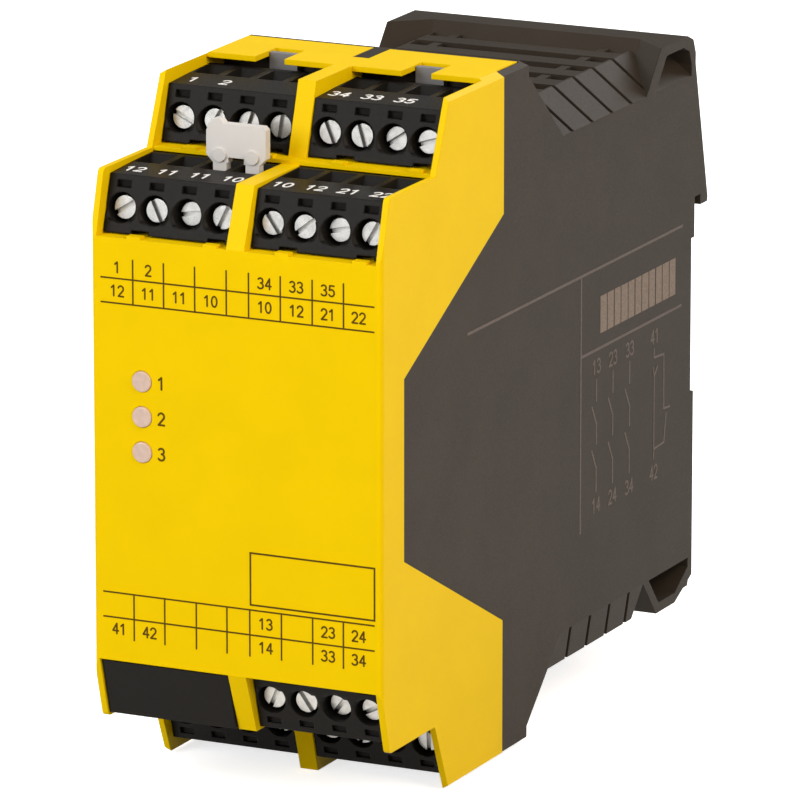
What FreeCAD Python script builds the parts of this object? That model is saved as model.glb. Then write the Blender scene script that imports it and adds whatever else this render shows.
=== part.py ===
"""Modular safety relay for a 35 mm top-hat rail, in millimetres.

A yellow front hood closes a black base housing. Seven four-way screw plugs sit in stepped pockets above
and below the front face, one pocket holds a blank filler, and an insertion bridge joins two poles of one
plug. Inside are three circuit boards, two sealed relays, a transformer and the parts that feed them.

Frame: X to the right seen from the front, Y towards the rail, Z up. The origin is on the rail seat, at
the middle of the width and on the centre line of the rail. Outlines are drawn as (depth behind the front
face, height), and place() turns such a depth into Y.
"""
import FreeCAD
import Part

import math
import os

Vector = FreeCAD.Vector

# Overall sizes
WIDTH = 45.0
SEAT_DEPTH = 107.9
HIGH_STEP_HEIGHT = 50.3
SHOULDER_HEIGHT = 36.9
HALF_WIDTH = WIDTH / 2.0

# Running and fitting clearances
FIT = 0.15
SHELL_STEP = 0.2
PIN_PLAY = 0.05
SLIDE_PLAY = 0.2

# Front hood: two tiers of plug pockets hang from its upper step
HIGH_POCKET_HEIGHT = 10.4
LOW_POCKET_HEIGHT = 9.1
TIER_DROP = 0.2
HIGH_SHELF_HEIGHT = HIGH_STEP_HEIGHT - HIGH_POCKET_HEIGHT
LOW_STEP_HEIGHT = HIGH_SHELF_HEIGHT - TIER_DROP
FRONT_HALF_HEIGHT = LOW_STEP_HEIGHT - LOW_POCKET_HEIGHT
FRONT_PLATE = 1.8
HOOD_WALL = 0.9
RIB_WIDTH = 2.8
RIB_LOW_FRONT = 3.4
RIB_LOW_REAR = 19.4
RIB_HIGH_FRONT = 22.9
RIB_DROP = 0.4
TIP_RADIUS = 0.9
LOW_STEP_FRONT = 2.5
LOW_STEP_REAR = 17.3
HIGH_STEP_FRONT = 21.9
HOOD_SIDE_REAR = 39.9
HOOD_TONGUE_REAR = 47.0
HOOD_TOP_PLATE = 0.8
HOOD_TOP_FRONT = 34.3
NOTCH_FRONT = 7.2
NOTCH_LOW_DROP = 17.5
NOTCH_HIGH_DROP = 20.5
NOTCH_HALF_LOW = FRONT_HALF_HEIGHT - NOTCH_LOW_DROP
NOTCH_HALF_HIGH = HIGH_STEP_HEIGHT - NOTCH_HIGH_DROP
SHELF = 1.0
HIGH_SHELF_THICKNESS = 0.6
HIGH_POCKET_REAR = 37.7
EDGE_CHAMFER = 1.3
EDGE_CHAMFER_DROP = 0.8
FRONT_EDGE_RADIUS = 0.8
WINDOW_WIDTH = 4.6
WINDOW_DEPTH = 6.6
CENTRE_NOTCH_WIDTH = 2.6
CENTRE_NOTCH_LENGTH = 7.0
TAB_WIDTH = 2.2
TAB_HEIGHT = 0.4
TAB_DEPTH = 1.4
TAB_OFFSETS = (-4.3, 7.6)

# Status lamps in the front face
LAMP_EDGE = 7.9
LAMP_X = LAMP_EDGE - HALF_WIDTH
LAMP_HEIGHTS = {"power": 10.4, "channel_1": 5.3, "channel_2": 0.2}
LAMP_RADIUS = 1.5
LAMP_STEM_RADIUS = 1.1
LAMP_PROUD = 0.3
LAMP_FLANGE = 0.8

# Base housing
BASE_WALL = 2.0
BASE_HALF_WIDTH = HALF_WIDTH - SHELL_STEP
BASE_TOP_REAR = 47.7
BASE_STEP_DEPTH = 1.0
BASE_STEP_DROP = 0.9
SLOPE_LEDGE = 1.5
BASE_STEP_HEIGHT = HIGH_STEP_HEIGHT - BASE_STEP_DROP
SLOPE_TOP_HEIGHT = BASE_STEP_HEIGHT - SLOPE_LEDGE
SLOPE_FOOT = 60.7
VENT_RISE = 4.8
VENT_HEIGHT = SHOULDER_HEIGHT + VENT_RISE
BODY_OVERLAP = 10.0
ROOM_STEP = 4.5
CUT_MARGIN = 1.0
TOP_CHAMFER = 6.3
UNDER_CHAMFER = 0.7
LAP_LENGTH = 2.0
REAR_WALL = 2.4

# Rear lips with their side pockets, measured forward from the rail seat
VEE_SETBACK = 18.0
VEE_LENGTH = 2.7
LIP_SETBACK = 12.7
UNDER_LIP_SETBACK = 6.3
VEE_APEX = SEAT_DEPTH - VEE_SETBACK
VEE_FRONT = VEE_APEX - VEE_LENGTH
LIP_FRONT = SEAT_DEPTH - LIP_SETBACK
LIP_RISE = 6.3
LIP_HEIGHT = SHOULDER_HEIGHT + LIP_RISE
LIP_ROUND = 3.0
LIP_SHELL = 1.5
EAR_WIDTH = 5.5
EAR_SWEEP = 4.8
UNDER_LIP_REAR = SEAT_DEPTH - UNDER_LIP_SETBACK
UNDER_LIP_RISE = 5.8
UNDER_LIP_HEIGHT = SHOULDER_HEIGHT + UNDER_LIP_RISE

# Vent blades, grooves and slots: the blades run up to the lips
GROOVE_START = 3.2
FIRST_GROOVE = SLOPE_FOOT + GROOVE_START
BLADE_PITCH = 6.93
TOP_GROOVES = int((LIP_FRONT + EAR_SWEEP - FIRST_GROOVE) / BLADE_PITCH) + 1
UNDER_GROOVES = int((VEE_FRONT - FIRST_GROOVE) / BLADE_PITCH) + 1
GROOVE_WIDTH = 0.9
GROOVE_DEPTH = 1.1
SLOT_EDGE = 0.3
SLOT_SIDE_LENGTH = 3.0
SLOT_WEB = 1.4
SLOT_WIDTH = 2.4
SLOT_LIFT = 0.5
SLOT_OUTER = BASE_HALF_WIDTH - TOP_CHAMFER - SLOT_EDGE
SLOT_INNER = SLOT_OUTER - SLOT_SIDE_LENGTH
SLOT_MIDDLE = SLOT_INNER - SLOT_WEB
SLOT_SPANS = ((-SLOT_OUTER, -SLOT_INNER), (-SLOT_MIDDLE, SLOT_MIDDLE), (SLOT_INNER, SLOT_OUTER))

# Rail seat, fixed hook and latch for a 35 mm rail
RAIL_WIDTH = 35.0
RAIL_EDGE_GAP = 0.8
HOOK_GAP = 2.1
HOOK_THICKNESS = 2.5
HOOK_OVERLAP = 0.8
HOOK_TIP_BEVEL = (0.2, 0.7)
HOOK_ROOT_RISE = 1.6
HOOK_ROOT_HEIGHT = SHOULDER_HEIGHT + HOOK_ROOT_RISE
RELIEF_DEPTH = 1.1
RELIEF_TOP = 12.2
RELIEF_BOTTOM = -11.4
SEAT_PAD_HALF = 8.0
LATCH_TRAVEL = 3.0
LATCH_HALF_WIDTH = 4.0
LATCH_NECK_HALF = 2.8
LATCH_SETBACK = 1.7
LATCH_BAR = 4.0
LATCH_SHOULDER = SEAT_DEPTH - LATCH_SETBACK
LATCH_BACK = LATCH_SHOULDER - LATCH_BAR
LATCH_TOP = -16.4
LATCH_PULL = 2.7
LATCH_FOOT = -UNDER_LIP_HEIGHT - LATCH_PULL
LATCH_EYE = (1.0, 2.2)
LATCH_EYE_WEB = 0.8
LATCH_NOSE_HOOK = 0.9
LATCH_NOSE_DEPTH = 3.1
LATCH_NOSE_BITE = 0.5
LATCH_NOSE_TIP = 0.8
LATCH_NOSE_LAND = (0.1, -0.9)
LATCH_NOSE_LOW = 3.1
LATCH_RECESS = 0.3
GUIDE_WALL = 1.5
SPRING_TOP = -24.0
SPRING_FOOT = -33.8
SPRING_STRIP = 0.45
SPRING_HALF_WIDTH = 1.6
SPRING_FOLDS = 7
LUG_HEIGHT = 1.8
WINDOW_DEPTH_LATCH = 3.0

# Plugs: as many poles as the standard pitch leaves room for, four at this width
PITCH = 5.08
FUNNEL_WIDTH = 4.3
PLUG_CENTRE = (HALF_WIDTH - HOOD_WALL + RIB_WIDTH / 2.0) / 2.0
PLUG_WIDTH = HALF_WIDTH - HOOD_WALL - RIB_WIDTH / 2.0 - 2.0 * FIT
POLES = int((PLUG_WIDTH - FUNNEL_WIDTH) / PITCH) + 1
PLUG_FACE_LEAN = 2.4
PLUG_FACE_HEIGHT = 7.9
PLUG_STRIP_REAR = 8.7
PLUG_STRIP_HEIGHT = 8.2
PLUG_TOP_REAR = 15.4
PLUG_TOP_HEIGHT = 8.35
PLUG_REAR = 17.6
PLUG_REAR_HEIGHT = 7.3
PLUG_LOW_DEPTH = 1.9
PLUG_HIGH_DEPTH = 20.0
PLUG_SEAT_GAP = 0.25
KEY_SLOT_HEIGHT = 0.5
FILLER_SINK = 0.35
FILLER_WALL = 1.5

# Screws and clamps in a plug
SCREW_TILT = 8.0
HEAD_RADIUS = 1.65
HEAD_THICKNESS = 1.1
SHANK_RADIUS = 1.0
SHANK_LENGTH = 4.9
DRIVER_SLOT_WIDTH = 0.65
DRIVER_SLOT_DEPTH = 0.7
RECESS_RADIUS = 2.15
RECESS_CHAMFER = 0.25
SCREW_HEIGHT = 3.4
SINK_DEPTHS = (1.2, 1.0, 1.7, 1.4)
SLOT_ANGLES = {
    "top_front_left": (32.0, -62.0, 8.0, 66.0),
    "top_front_right": (-52.0, 38.0, 12.0, 62.0),
    "top_rear_left": (-24.0, 60.0, 74.0, 84.0),
    "top_rear_right": (-64.0, -70.0, 34.0, 18.0),
    "bottom_front_right": (64.0, -58.0, 52.0, 28.0),
    "bottom_rear_left": (10.0, 48.0, -36.0, 80.0),
    "bottom_rear_right": (-20.0, 72.0, 36.0, 88.0),
}
TEST_WINDOW_WIDTH = 2.2
TEST_WINDOW_HEIGHT = 1.0
TEST_WINDOW_DEPTH = 0.8
TEST_WINDOW_RISE = 3.2
CLAMP_DEPTH = 8.1
CLAMP_LENGTH = 3.8
CLAMP_HEIGHT = 3.1
CLAMP_WIDTH = 3.6
CLAMP_SHEET = 0.6
CLAMP_PLAY = 0.1
FUNNEL_LOW_WIDTH = 1.8
FUNNEL_FRONT = 9.1
FUNNEL_REAR = 15.0

# Pins and their headers
PIN_SIZE = 1.0
PIN_HEIGHT = 2.6
PIN_REACH = 6.2
SOCKET_SIZE = 1.9
SOCKET_WALL = 0.4
HEADER_GAP = 0.3
HEADER_LENGTH = 6.0
HEADER_LOW = 0.2
HEADER_HIGH = 5.2
HEADER_SIDE = 1.35
HEADER_WIDTH = PLUG_WIDTH - 2.0 * HEADER_SIDE
HEADER_TAB_WIDTH = 4.4
HEADER_TAB_DEPTH = (0.7, 1.7)
HEADER_TAB_DROP = 0.2
PIN_TAILS = (3.4, 1.2)
SHELF_GAP = 0.2
HIGH_SHELF_FRONT = PLUG_LOW_DEPTH + PLUG_TOP_REAR + SHELF_GAP
POCKET_DEPTH = PLUG_LOW_DEPTH + PLUG_REAR + HEADER_GAP + HEADER_LENGTH - SHELF_GAP

# Insertion bridge in the last two poles of the upper front left plug
BRIDGE_POLES = (POLES - 2, POLES - 1)
BRIDGE_WIDTH = 9.3
BRIDGE_THICKNESS = 1.4
BRIDGE_SETBACK = 12.1
BRIDGE_LIFT = 0.4
BRIDGE_HEIGHT = 5.6
BRIDGE_DEPTH = PLUG_LOW_DEPTH + BRIDGE_SETBACK
BRIDGE_LOW = FRONT_HALF_HEIGHT + PLUG_SEAT_GAP + PLUG_TOP_HEIGHT + BRIDGE_LIFT
BRIDGE_HIGH = BRIDGE_LOW + BRIDGE_HEIGHT
BRIDGE_STEP = 0.6
BRIDGE_STEP_WIDTH = 2.2
BRIDGE_LEG_WIDTH = 2.1
BRIDGE_BOSS_RADIUS = 1.0
BRIDGE_BOSS_PROUD = 0.3
BRIDGE_GAP_INSET = 1.3
BRIDGE_GAP_HEIGHT = 0.8
FORK_WIDTH = 1.2
FORK_THICKNESS = 0.7
FORK_BAR = (1.6, 3.0)

# Circuit boards and what stands on them
BOARD = 1.6
SIDE_BOARD_X = PLUG_CENTRE
FRONT_BOARD_DEPTH = 12.4
FRONT_BOARD_SIDE = 3.3
FRONT_BOARD_END = 3.6
FRONT_BOARD_HALF_WIDTH = BASE_HALF_WIDTH - BASE_WALL - FRONT_BOARD_SIDE
FRONT_BOARD_HALF_HEIGHT = FRONT_HALF_HEIGHT - FRONT_BOARD_END
BOARD_END_GAP = 0.3
BOARD_TOP_GAP = 0.7
BOARD_SHELF_GAP = 2.0
BOARD_REAR = SEAT_DEPTH - REAR_WALL - BOARD_END_GAP
BOARD_HALF_HEIGHT = SHOULDER_HEIGHT - BASE_WALL - BOARD_TOP_GAP
GUIDE_RIB = 1.2
GUIDE_RIB_LENGTH = 4.0
GUIDE_PLAY = 0.1
LED_SIZE = (2.0, 0.7, 1.4)
RELAY_GAP = 1.4
RELAY_SIZE = (2.0 * SIDE_BOARD_X - BOARD - RELAY_GAP, 38.0, 12.8)
RELAY_REAR_GAP = 11.2
RELAY_FRONT = BOARD_REAR - RELAY_REAR_GAP - RELAY_SIZE[1]
TRANSFORMER_CORE = (17.0, 20.0, 16.0)
TRANSFORMER_FRONT = 58.0
COIL_MARGIN = 1.6
COIL_OVERHANG = 1.0
CAPACITOR_RADIUS = 5.0
CAPACITOR_LENGTH = 16.0
CAPACITOR_DEPTH = 66.0
FUSE_RADIUS = 4.2
FUSE_LENGTH = 8.0
FUSE_DEPTH = 36.0
FUSE_GAP = 1.0
DISC_RADIUS = 5.5
DISC_THICKNESS = 3.6
DISC_PLACE = (36.0, -18.0)
LOGIC_SIZE = (1.6, 9.0, 9.0)
LOGIC_PLACE = (32.0, 0.0)

# The transformer, both relays and the capacitor stand in one upright row with even gaps
ROW = (TRANSFORMER_CORE[2] + 2.0 * COIL_OVERHANG, RELAY_SIZE[2], RELAY_SIZE[2], 2.0 * CAPACITOR_RADIUS)
ROW_GAP = (2.0 * BOARD_HALF_HEIGHT - sum(ROW)) / (len(ROW) + 1)
ROW_HEIGHTS = [
    -BOARD_HALF_HEIGHT + (index + 1) * ROW_GAP + sum(ROW[:index]) + ROW[index] / 2.0
    for index in range(len(ROW))
]
TRANSFORMER_HEIGHT = ROW_HEIGHTS[0]
RELAY_HEIGHTS = {"right": ROW_HEIGHTS[1], "left": ROW_HEIGHTS[2]}
CAPACITOR_PLACE = (CAPACITOR_DEPTH, ROW_HEIGHTS[3])
FUSE_PLACE = (FUSE_DEPTH, RELAY_HEIGHTS["left"] + RELAY_SIZE[2] / 2.0 + FUSE_GAP + FUSE_RADIUS)

SIDES = {"left": -1, "right": 1}
PLUGS = {
    "top_front_left": ("low", 1, -1),
    "top_front_right": ("low", 1, 1),
    "top_rear_left": ("high", 1, -1),
    "top_rear_right": ("high", 1, 1),
    "bottom_front_right": ("low", -1, 1),
    "bottom_rear_left": ("high", -1, -1),
    "bottom_rear_right": ("high", -1, 1),
}
PLUG_DEPTHS = {"low": PLUG_LOW_DEPTH, "high": PLUG_HIGH_DEPTH}
PLUG_FLOORS = {"low": FRONT_HALF_HEIGHT + PLUG_SEAT_GAP, "high": HIGH_SHELF_HEIGHT + PLUG_SEAT_GAP}


def place(depth):
    """Y of a depth behind the front face."""
    return depth - SEAT_DEPTH


def block(x, depth, height):
    """Box from three (low, high) pairs: X, depth behind the front face, and Z."""
    size = (x[1] - x[0], depth[1] - depth[0], height[1] - height[0])
    return Part.makeBox(*size, Vector(x[0], place(depth[0]), height[0]))


def side_prism(outline, x_low, x_high):
    """Solid between two X planes from an outline of (depth, height) points."""
    points = [Vector(x_low, place(depth), height) for depth, height in outline]
    face = Part.Face(Part.makePolygon(points + points[:1]))
    return face.extrude(Vector(x_high - x_low, 0, 0))


def cross_prism(outline, depth_low, depth_high):
    """Solid between two depths from an outline of (x, height) points."""
    points = [Vector(x, place(depth_low), height) for x, height in outline]
    face = Part.Face(Part.makePolygon(points + points[:1]))
    return face.extrude(Vector(0, depth_high - depth_low, 0))


def mirrored(outline):
    """An upper outline followed by its mirror image below the rail's centre line."""
    return outline + [(depth, -height) for depth, height in reversed(outline)]


def flip(shape):
    """Mirror image about the rail's centre plane."""
    return shape.mirror(Vector(0, 0, 0), Vector(0, 0, 1))


def fuse(shapes):
    result = shapes[0].multiFuse(shapes[1:]) if len(shapes) > 1 else shapes[0]
    return result.removeSplitter()


def cut(shape, tools):
    return shape.cut(tools).removeSplitter() if tools else shape


def export(node, shape):
    shape.exportStep(f"parts/{node}.step")


def export_group(node, solids):
    export(node, Part.makeCompound(solids))


# Front hood


def soft_corner(before, corner, after, radius):
    """Points of a small arc that replaces one corner of an outline."""
    unit = []
    for point in (before, after):
        run = (point[0] - corner[0], point[1] - corner[1])
        length = math.hypot(*run)
        unit.append((run[0] / length, run[1] / length))
    half = math.acos(unit[0][0] * unit[1][0] + unit[0][1] * unit[1][1]) / 2.0
    reach = radius / math.tan(half)
    middle = (unit[0][0] + unit[1][0], unit[0][1] + unit[1][1])
    scale = radius / math.sin(half) / math.hypot(*middle)
    centre = (corner[0] + middle[0] * scale, corner[1] + middle[1] * scale)
    ends = [(corner[0] + way[0] * reach, corner[1] + way[1] * reach) for way in unit]
    angles = [math.atan2(end[1] - centre[1], end[0] - centre[0]) for end in ends]
    turn = (angles[1] - angles[0] + math.pi) % (2.0 * math.pi) - math.pi
    steps = [angles[0] + turn * index / 4.0 for index in range(5)]
    return [(centre[0] + radius * math.cos(a), centre[1] + radius * math.sin(a)) for a in steps]


def hood_outline():
    rear = (HOOD_SIDE_REAR, HIGH_STEP_HEIGHT)
    high_tip = (HIGH_STEP_FRONT, HIGH_STEP_HEIGHT)
    inner = (LOW_STEP_REAR, LOW_STEP_HEIGHT)
    low_tip = (LOW_STEP_FRONT, LOW_STEP_HEIGHT)
    front = (0, FRONT_HALF_HEIGHT)
    upper = [
        (NOTCH_FRONT, NOTCH_HALF_LOW),
        (HOOD_SIDE_REAR, NOTCH_HALF_HIGH),
        rear,
        *soft_corner(rear, high_tip, inner, TIP_RADIUS),
        inner,
        *soft_corner(inner, low_tip, front, TIP_RADIUS),
        front,
    ]
    return mirrored(upper)


def rib_outline():
    return [
        (0, FRONT_HALF_HEIGHT - SHELF),
        (0, FRONT_HALF_HEIGHT),
        (RIB_LOW_FRONT, LOW_STEP_HEIGHT - RIB_DROP),
        (RIB_LOW_REAR, LOW_STEP_HEIGHT - RIB_DROP),
        (RIB_HIGH_FRONT, HIGH_STEP_HEIGHT),
        (HIGH_POCKET_REAR, HIGH_STEP_HEIGHT),
        (HIGH_POCKET_REAR, HIGH_SHELF_HEIGHT - HIGH_SHELF_THICKNESS),
        (POCKET_DEPTH, HIGH_SHELF_HEIGHT - HIGH_SHELF_THICKNESS),
        (POCKET_DEPTH, FRONT_HALF_HEIGHT - SHELF),
    ]


def rounded_bar(x, depth, height, radius):
    """Box with its upright edges at the front rounded."""
    bar = block(x, depth, height)
    front = [
        edge
        for edge in bar.Edges
        if abs(edge.CenterOfMass.y - place(depth[0])) < 1e-6 and abs(edge.CenterOfMass.z) < 1e-6
    ]
    return bar.makeFillet(radius, front)


def pocket_tabs(depth, height):
    """The small locating tabs on the shelf edge of the upper pockets."""
    tabs = []
    z = (height - HIGH_SHELF_THICKNESS / 2.0, height + TAB_HEIGHT)
    for side in SIDES.values():
        for offset in TAB_OFFSETS:
            middle = side * PLUG_CENTRE + offset
            x = (middle - TAB_WIDTH / 2.0, middle + TAB_WIDTH / 2.0)
            tabs.append(block(x, (depth, depth + TAB_DEPTH), z))
    return tabs


def hood_half():
    """Shelves, top plate and rib above the centre line."""
    inner = HALF_WIDTH - HOOD_WALL / 2.0
    high_shelf_low = HIGH_SHELF_HEIGHT - HIGH_SHELF_THICKNESS
    return [
        side_prism(rib_outline(), -RIB_WIDTH / 2.0, RIB_WIDTH / 2.0),
        block((-inner, inner), (0, POCKET_DEPTH), (FRONT_HALF_HEIGHT - SHELF, FRONT_HALF_HEIGHT)),
        block((-inner, inner), (HIGH_SHELF_FRONT, HIGH_POCKET_REAR), (high_shelf_low, HIGH_SHELF_HEIGHT)),
        block(
            (-inner, inner),
            (HOOD_TOP_FRONT, HOOD_SIDE_REAR),
            (HIGH_STEP_HEIGHT - HOOD_TOP_PLATE, HIGH_STEP_HEIGHT),
        ),
        block(
            (-(HALF_WIDTH - EDGE_CHAMFER), HALF_WIDTH - EDGE_CHAMFER),
            (HOOD_TOP_FRONT, HOOD_TONGUE_REAR),
            (HIGH_STEP_HEIGHT - HOOD_TOP_PLATE, HIGH_STEP_HEIGHT),
        ),
    ]


def hood_windows():
    """Notches in the top plate: one over each upper plug and one over the base's key."""
    top = (HIGH_STEP_HEIGHT - HOOD_TOP_PLATE - 1, HIGH_STEP_HEIGHT + 1)
    tools = []
    for side in SIDES.values():
        middle = side * PLUG_CENTRE
        x = (middle - WINDOW_WIDTH / 2.0, middle + WINDOW_WIDTH / 2.0)
        tools.append(block(x, (HOOD_TOP_FRONT - 1, HOOD_TOP_FRONT + WINDOW_DEPTH), top))
    half = CENTRE_NOTCH_WIDTH / 2.0
    start = HOOD_TONGUE_REAR - CENTRE_NOTCH_LENGTH
    tools.append(block((-half, half), (start, HOOD_TONGUE_REAR + 1), top))
    return tools


def chamfered_section(half_width):
    """Cross-section of a shell whose long outer edges are chamfered."""
    side = (half_width, HIGH_STEP_HEIGHT - EDGE_CHAMFER_DROP)
    top = (HALF_WIDTH - EDGE_CHAMFER, HIGH_STEP_HEIGHT)
    upper = [(-side[0], side[1]), (-top[0], top[1]), top, side]
    return upper + [(x, -z) for x, z in reversed(upper)]


def front_hood():
    outline = hood_outline()
    walls = [
        side_prism(outline, HALF_WIDTH - HOOD_WALL, HALF_WIDTH),
        side_prism(outline, -HALF_WIDTH, HOOD_WALL - HALF_WIDTH),
        block((-HALF_WIDTH, HALF_WIDTH), (0, FRONT_PLATE), (-FRONT_HALF_HEIGHT, FRONT_HALF_HEIGHT)),
    ]
    upper = hood_half()
    tabs = pocket_tabs(0, FRONT_HALF_HEIGHT) + pocket_tabs(HIGH_SHELF_FRONT, HIGH_SHELF_HEIGHT)
    hood = fuse(walls + upper + [flip(piece) for piece in upper] + tabs)
    tools = hood_windows()
    tools += [flip(tool) for tool in tools]
    for height in LAMP_HEIGHTS.values():
        start = Vector(LAMP_X, place(-1), height)
        tools.append(Part.makeCylinder(LAMP_RADIUS + PIN_PLAY, FRONT_PLATE + 2, start, Vector(0, 1, 0)))
    hood = cut(hood, tools)
    section = cross_prism(chamfered_section(HALF_WIDTH), -1, HOOD_TONGUE_REAR + 1)
    plan = rounded_bar(
        (-HALF_WIDTH, HALF_WIDTH),
        (0, HOOD_TONGUE_REAR + 1),
        (-HIGH_STEP_HEIGHT - 1, HIGH_STEP_HEIGHT + 1),
        FRONT_EDGE_RADIUS,
    )
    return hood.common(section).common(plan).removeSplitter()


# Base housing


def base_side_outline(inset=0.0):
    """Outline of the base seen from the side, or of the hollow inside it."""
    slope_run = SLOPE_FOOT - (BASE_TOP_REAR + BASE_STEP_DEPTH)
    slope_drop = SLOPE_TOP_HEIGHT - SHOULDER_HEIGHT
    gap = FIT
    if not inset:
        upper = [
            (NOTCH_FRONT + gap, NOTCH_HALF_LOW),
            (HOOD_SIDE_REAR + gap, NOTCH_HALF_HIGH),
            (HOOD_SIDE_REAR + gap, HIGH_STEP_HEIGHT),
            (BASE_TOP_REAR, HIGH_STEP_HEIGHT),
            (BASE_TOP_REAR + BASE_STEP_DEPTH, BASE_STEP_HEIGHT),
            (BASE_TOP_REAR + BASE_STEP_DEPTH, SLOPE_TOP_HEIGHT),
            (SLOPE_FOOT, SHOULDER_HEIGHT),
            (SEAT_DEPTH, SHOULDER_HEIGHT),
        ]
        return mirrored(upper)
    slope_shift = inset * math.hypot(slope_run, slope_drop) / slope_run
    roof = HIGH_STEP_HEIGHT - HOOD_TOP_PLATE - FIT - inset
    slope_at = SLOPE_TOP_HEIGHT - slope_shift
    start = BASE_TOP_REAR + BASE_STEP_DEPTH
    roof_end = start + (slope_at - roof) * slope_run / slope_drop
    low_end = start + (slope_at - (SHOULDER_HEIGHT - inset)) * slope_run / slope_drop
    upper = [
        (NOTCH_FRONT - LAP_LENGTH - 1, roof),
        (roof_end, roof),
        (low_end, SHOULDER_HEIGHT - inset),
        (SEAT_DEPTH - REAR_WALL, SHOULDER_HEIGHT - inset),
    ]
    return mirrored(upper)


def vent_section(inset=0.0):
    """Cross-section of the vented rear body: chamfered above and below."""
    side = BASE_HALF_WIDTH - inset
    rim = VENT_HEIGHT - inset
    shoulder = SHOULDER_HEIGHT - inset * 0.5
    upper_x = BASE_HALF_WIDTH - TOP_CHAMFER - inset * 0.5
    under_x = BASE_HALF_WIDTH - UNDER_CHAMFER - inset * 0.8
    return [
        (-side, -shoulder),
        (-under_x, -rim),
        (under_x, -rim),
        (side, -shoulder),
        (side, shoulder),
        (upper_x, rim),
        (-upper_x, rim),
        (-side, shoulder),
    ]


def lip_lean():
    """Depth gained by a lip's front face per millimetre of height."""
    return (LIP_FRONT - VEE_APEX) / (LIP_HEIGHT - SHOULDER_HEIGHT)


def lip_outline(inset=0.0):
    """Side outline of the upper rear lip, or of the pocket in it."""
    rear = SEAT_DEPTH - inset
    top = LIP_HEIGHT - inset
    return [
        (VEE_APEX, SHOULDER_HEIGHT),
        (VEE_APEX + (top - SHOULDER_HEIGHT) * lip_lean(), top),
        (rear - LIP_ROUND, top),
        (rear - LIP_ROUND * 0.3, top - LIP_ROUND * 0.3),
        (rear, top - LIP_ROUND),
        (rear, SHOULDER_HEIGHT),
    ]


def swept_block(inset=0.0):
    """Block whose leaning front face is swept forward at both sides of the lip."""
    half = BASE_HALF_WIDTH + inset
    front = VEE_APEX + inset * 1.5
    inner = BASE_HALF_WIDTH - EAR_WIDTH
    plan = [
        (-half, front),
        (-inner, front + EAR_SWEEP),
        (inner, front + EAR_SWEEP),
        (half, front),
        (half, SEAT_DEPTH + 5.0),
        (-half, SEAT_DEPTH + 5.0),
    ]
    points = [Vector(x, place(depth), SHOULDER_HEIGHT) for x, depth in plan]
    rise = LIP_HEIGHT - SHOULDER_HEIGHT + 1.0
    return Part.Face(Part.makePolygon(points + points[:1])).extrude(Vector(0, rise * lip_lean(), rise))


def upper_lip():
    """Rear lip with forward-swept ears, hollowed from both sides down to the chamfered body."""
    half = BASE_HALF_WIDTH
    lip = side_prism(lip_outline(), -half, half).common(swept_block())
    body = cross_prism(vent_section(), SLOPE_FOOT, SEAT_DEPTH)
    reach = BASE_HALF_WIDTH - TOP_CHAMFER
    pockets = []
    for side in SIDES.values():
        x_low, x_high = sorted((side * reach, side * (HALF_WIDTH + 1)))
        pocket = side_prism(lip_outline(LIP_SHELL), x_low, x_high).common(swept_block(LIP_SHELL))
        pockets.append(pocket.cut(body))
    return cut(lip, pockets)


def under_lip_outline(inset=0.0):
    """Side outline of the lower rear lip, drawn above the centre line."""
    rear = SEAT_DEPTH - inset
    top = UNDER_LIP_HEIGHT - inset
    front_foot = VEE_APEX + inset * 1.4
    return [
        (front_foot, SHOULDER_HEIGHT),
        (front_foot + (top - SHOULDER_HEIGHT) * lip_lean(), top),
        (UNDER_LIP_REAR, top),
        (rear, top - (UNDER_LIP_HEIGHT - SHOULDER_HEIGHT) * 0.5),
        (rear, SHOULDER_HEIGHT),
    ]


def hook_outline():
    """Fixed hook that hangs over the rail's upper edge."""
    rail_edge = RAIL_WIDTH / 2.0
    inner = SEAT_DEPTH + HOOK_GAP
    outer = inner + HOOK_THICKNESS
    return [
        (SEAT_DEPTH - BASE_WALL / 2.0, HOOK_ROOT_HEIGHT),
        (SEAT_DEPTH, HOOK_ROOT_HEIGHT),
        (outer + HOOK_TIP_BEVEL[0], rail_edge - HOOK_OVERLAP + HOOK_TIP_BEVEL[1]),
        (outer, rail_edge - HOOK_OVERLAP),
        (inner, rail_edge - HOOK_OVERLAP),
        (inner, rail_edge + RAIL_EDGE_GAP),
        (SEAT_DEPTH - BASE_WALL / 2.0, rail_edge + RAIL_EDGE_GAP),
    ]


def groove(depth):
    """Groove across the top, the bottom and their chamfers."""
    low = depth - GROOVE_WIDTH / 2.0
    high = depth + GROOVE_WIDTH / 2.0
    outer = cross_prism(vent_section(-1.5), low, high)
    core = cross_prism(vent_section(GROOVE_DEPTH), low - 1, high + 1)
    keep = block((-HALF_WIDTH - 2, HALF_WIDTH + 2), (low, high), (-SHOULDER_HEIGHT, SHOULDER_HEIGHT))
    return outer.cut(core).cut(keep)


def upper_only(shape):
    return shape.common(block((-HALF_WIDTH - 2, HALF_WIDTH + 2), (0, SEAT_DEPTH), (0, LIP_HEIGHT + 5)))


def vent_slots(depth):
    """Air slots in front of one groove, left apart by narrow webs."""
    rear = depth - GROOVE_WIDTH / 2.0
    z = (SHOULDER_HEIGHT + SLOT_LIFT, VENT_HEIGHT + CUT_MARGIN)
    return [block(span, (rear - SLOT_WIDTH, rear), z) for span in SLOT_SPANS]


def vent_cuts():
    """Grooves between the blades and air slots in them, above and below."""
    tools = []
    for index in range(TOP_GROOVES):
        depth = FIRST_GROOVE + index * BLADE_PITCH
        below = index < UNDER_GROOVES
        trim = (lambda shape: shape) if below else upper_only
        tools.append(trim(groove(depth)))
        if 0 < index < TOP_GROOVES - 1:
            slots = vent_slots(depth)
            tools += slots
            tools += [flip(slot) for slot in slots] if below else []
    return tools


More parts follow.
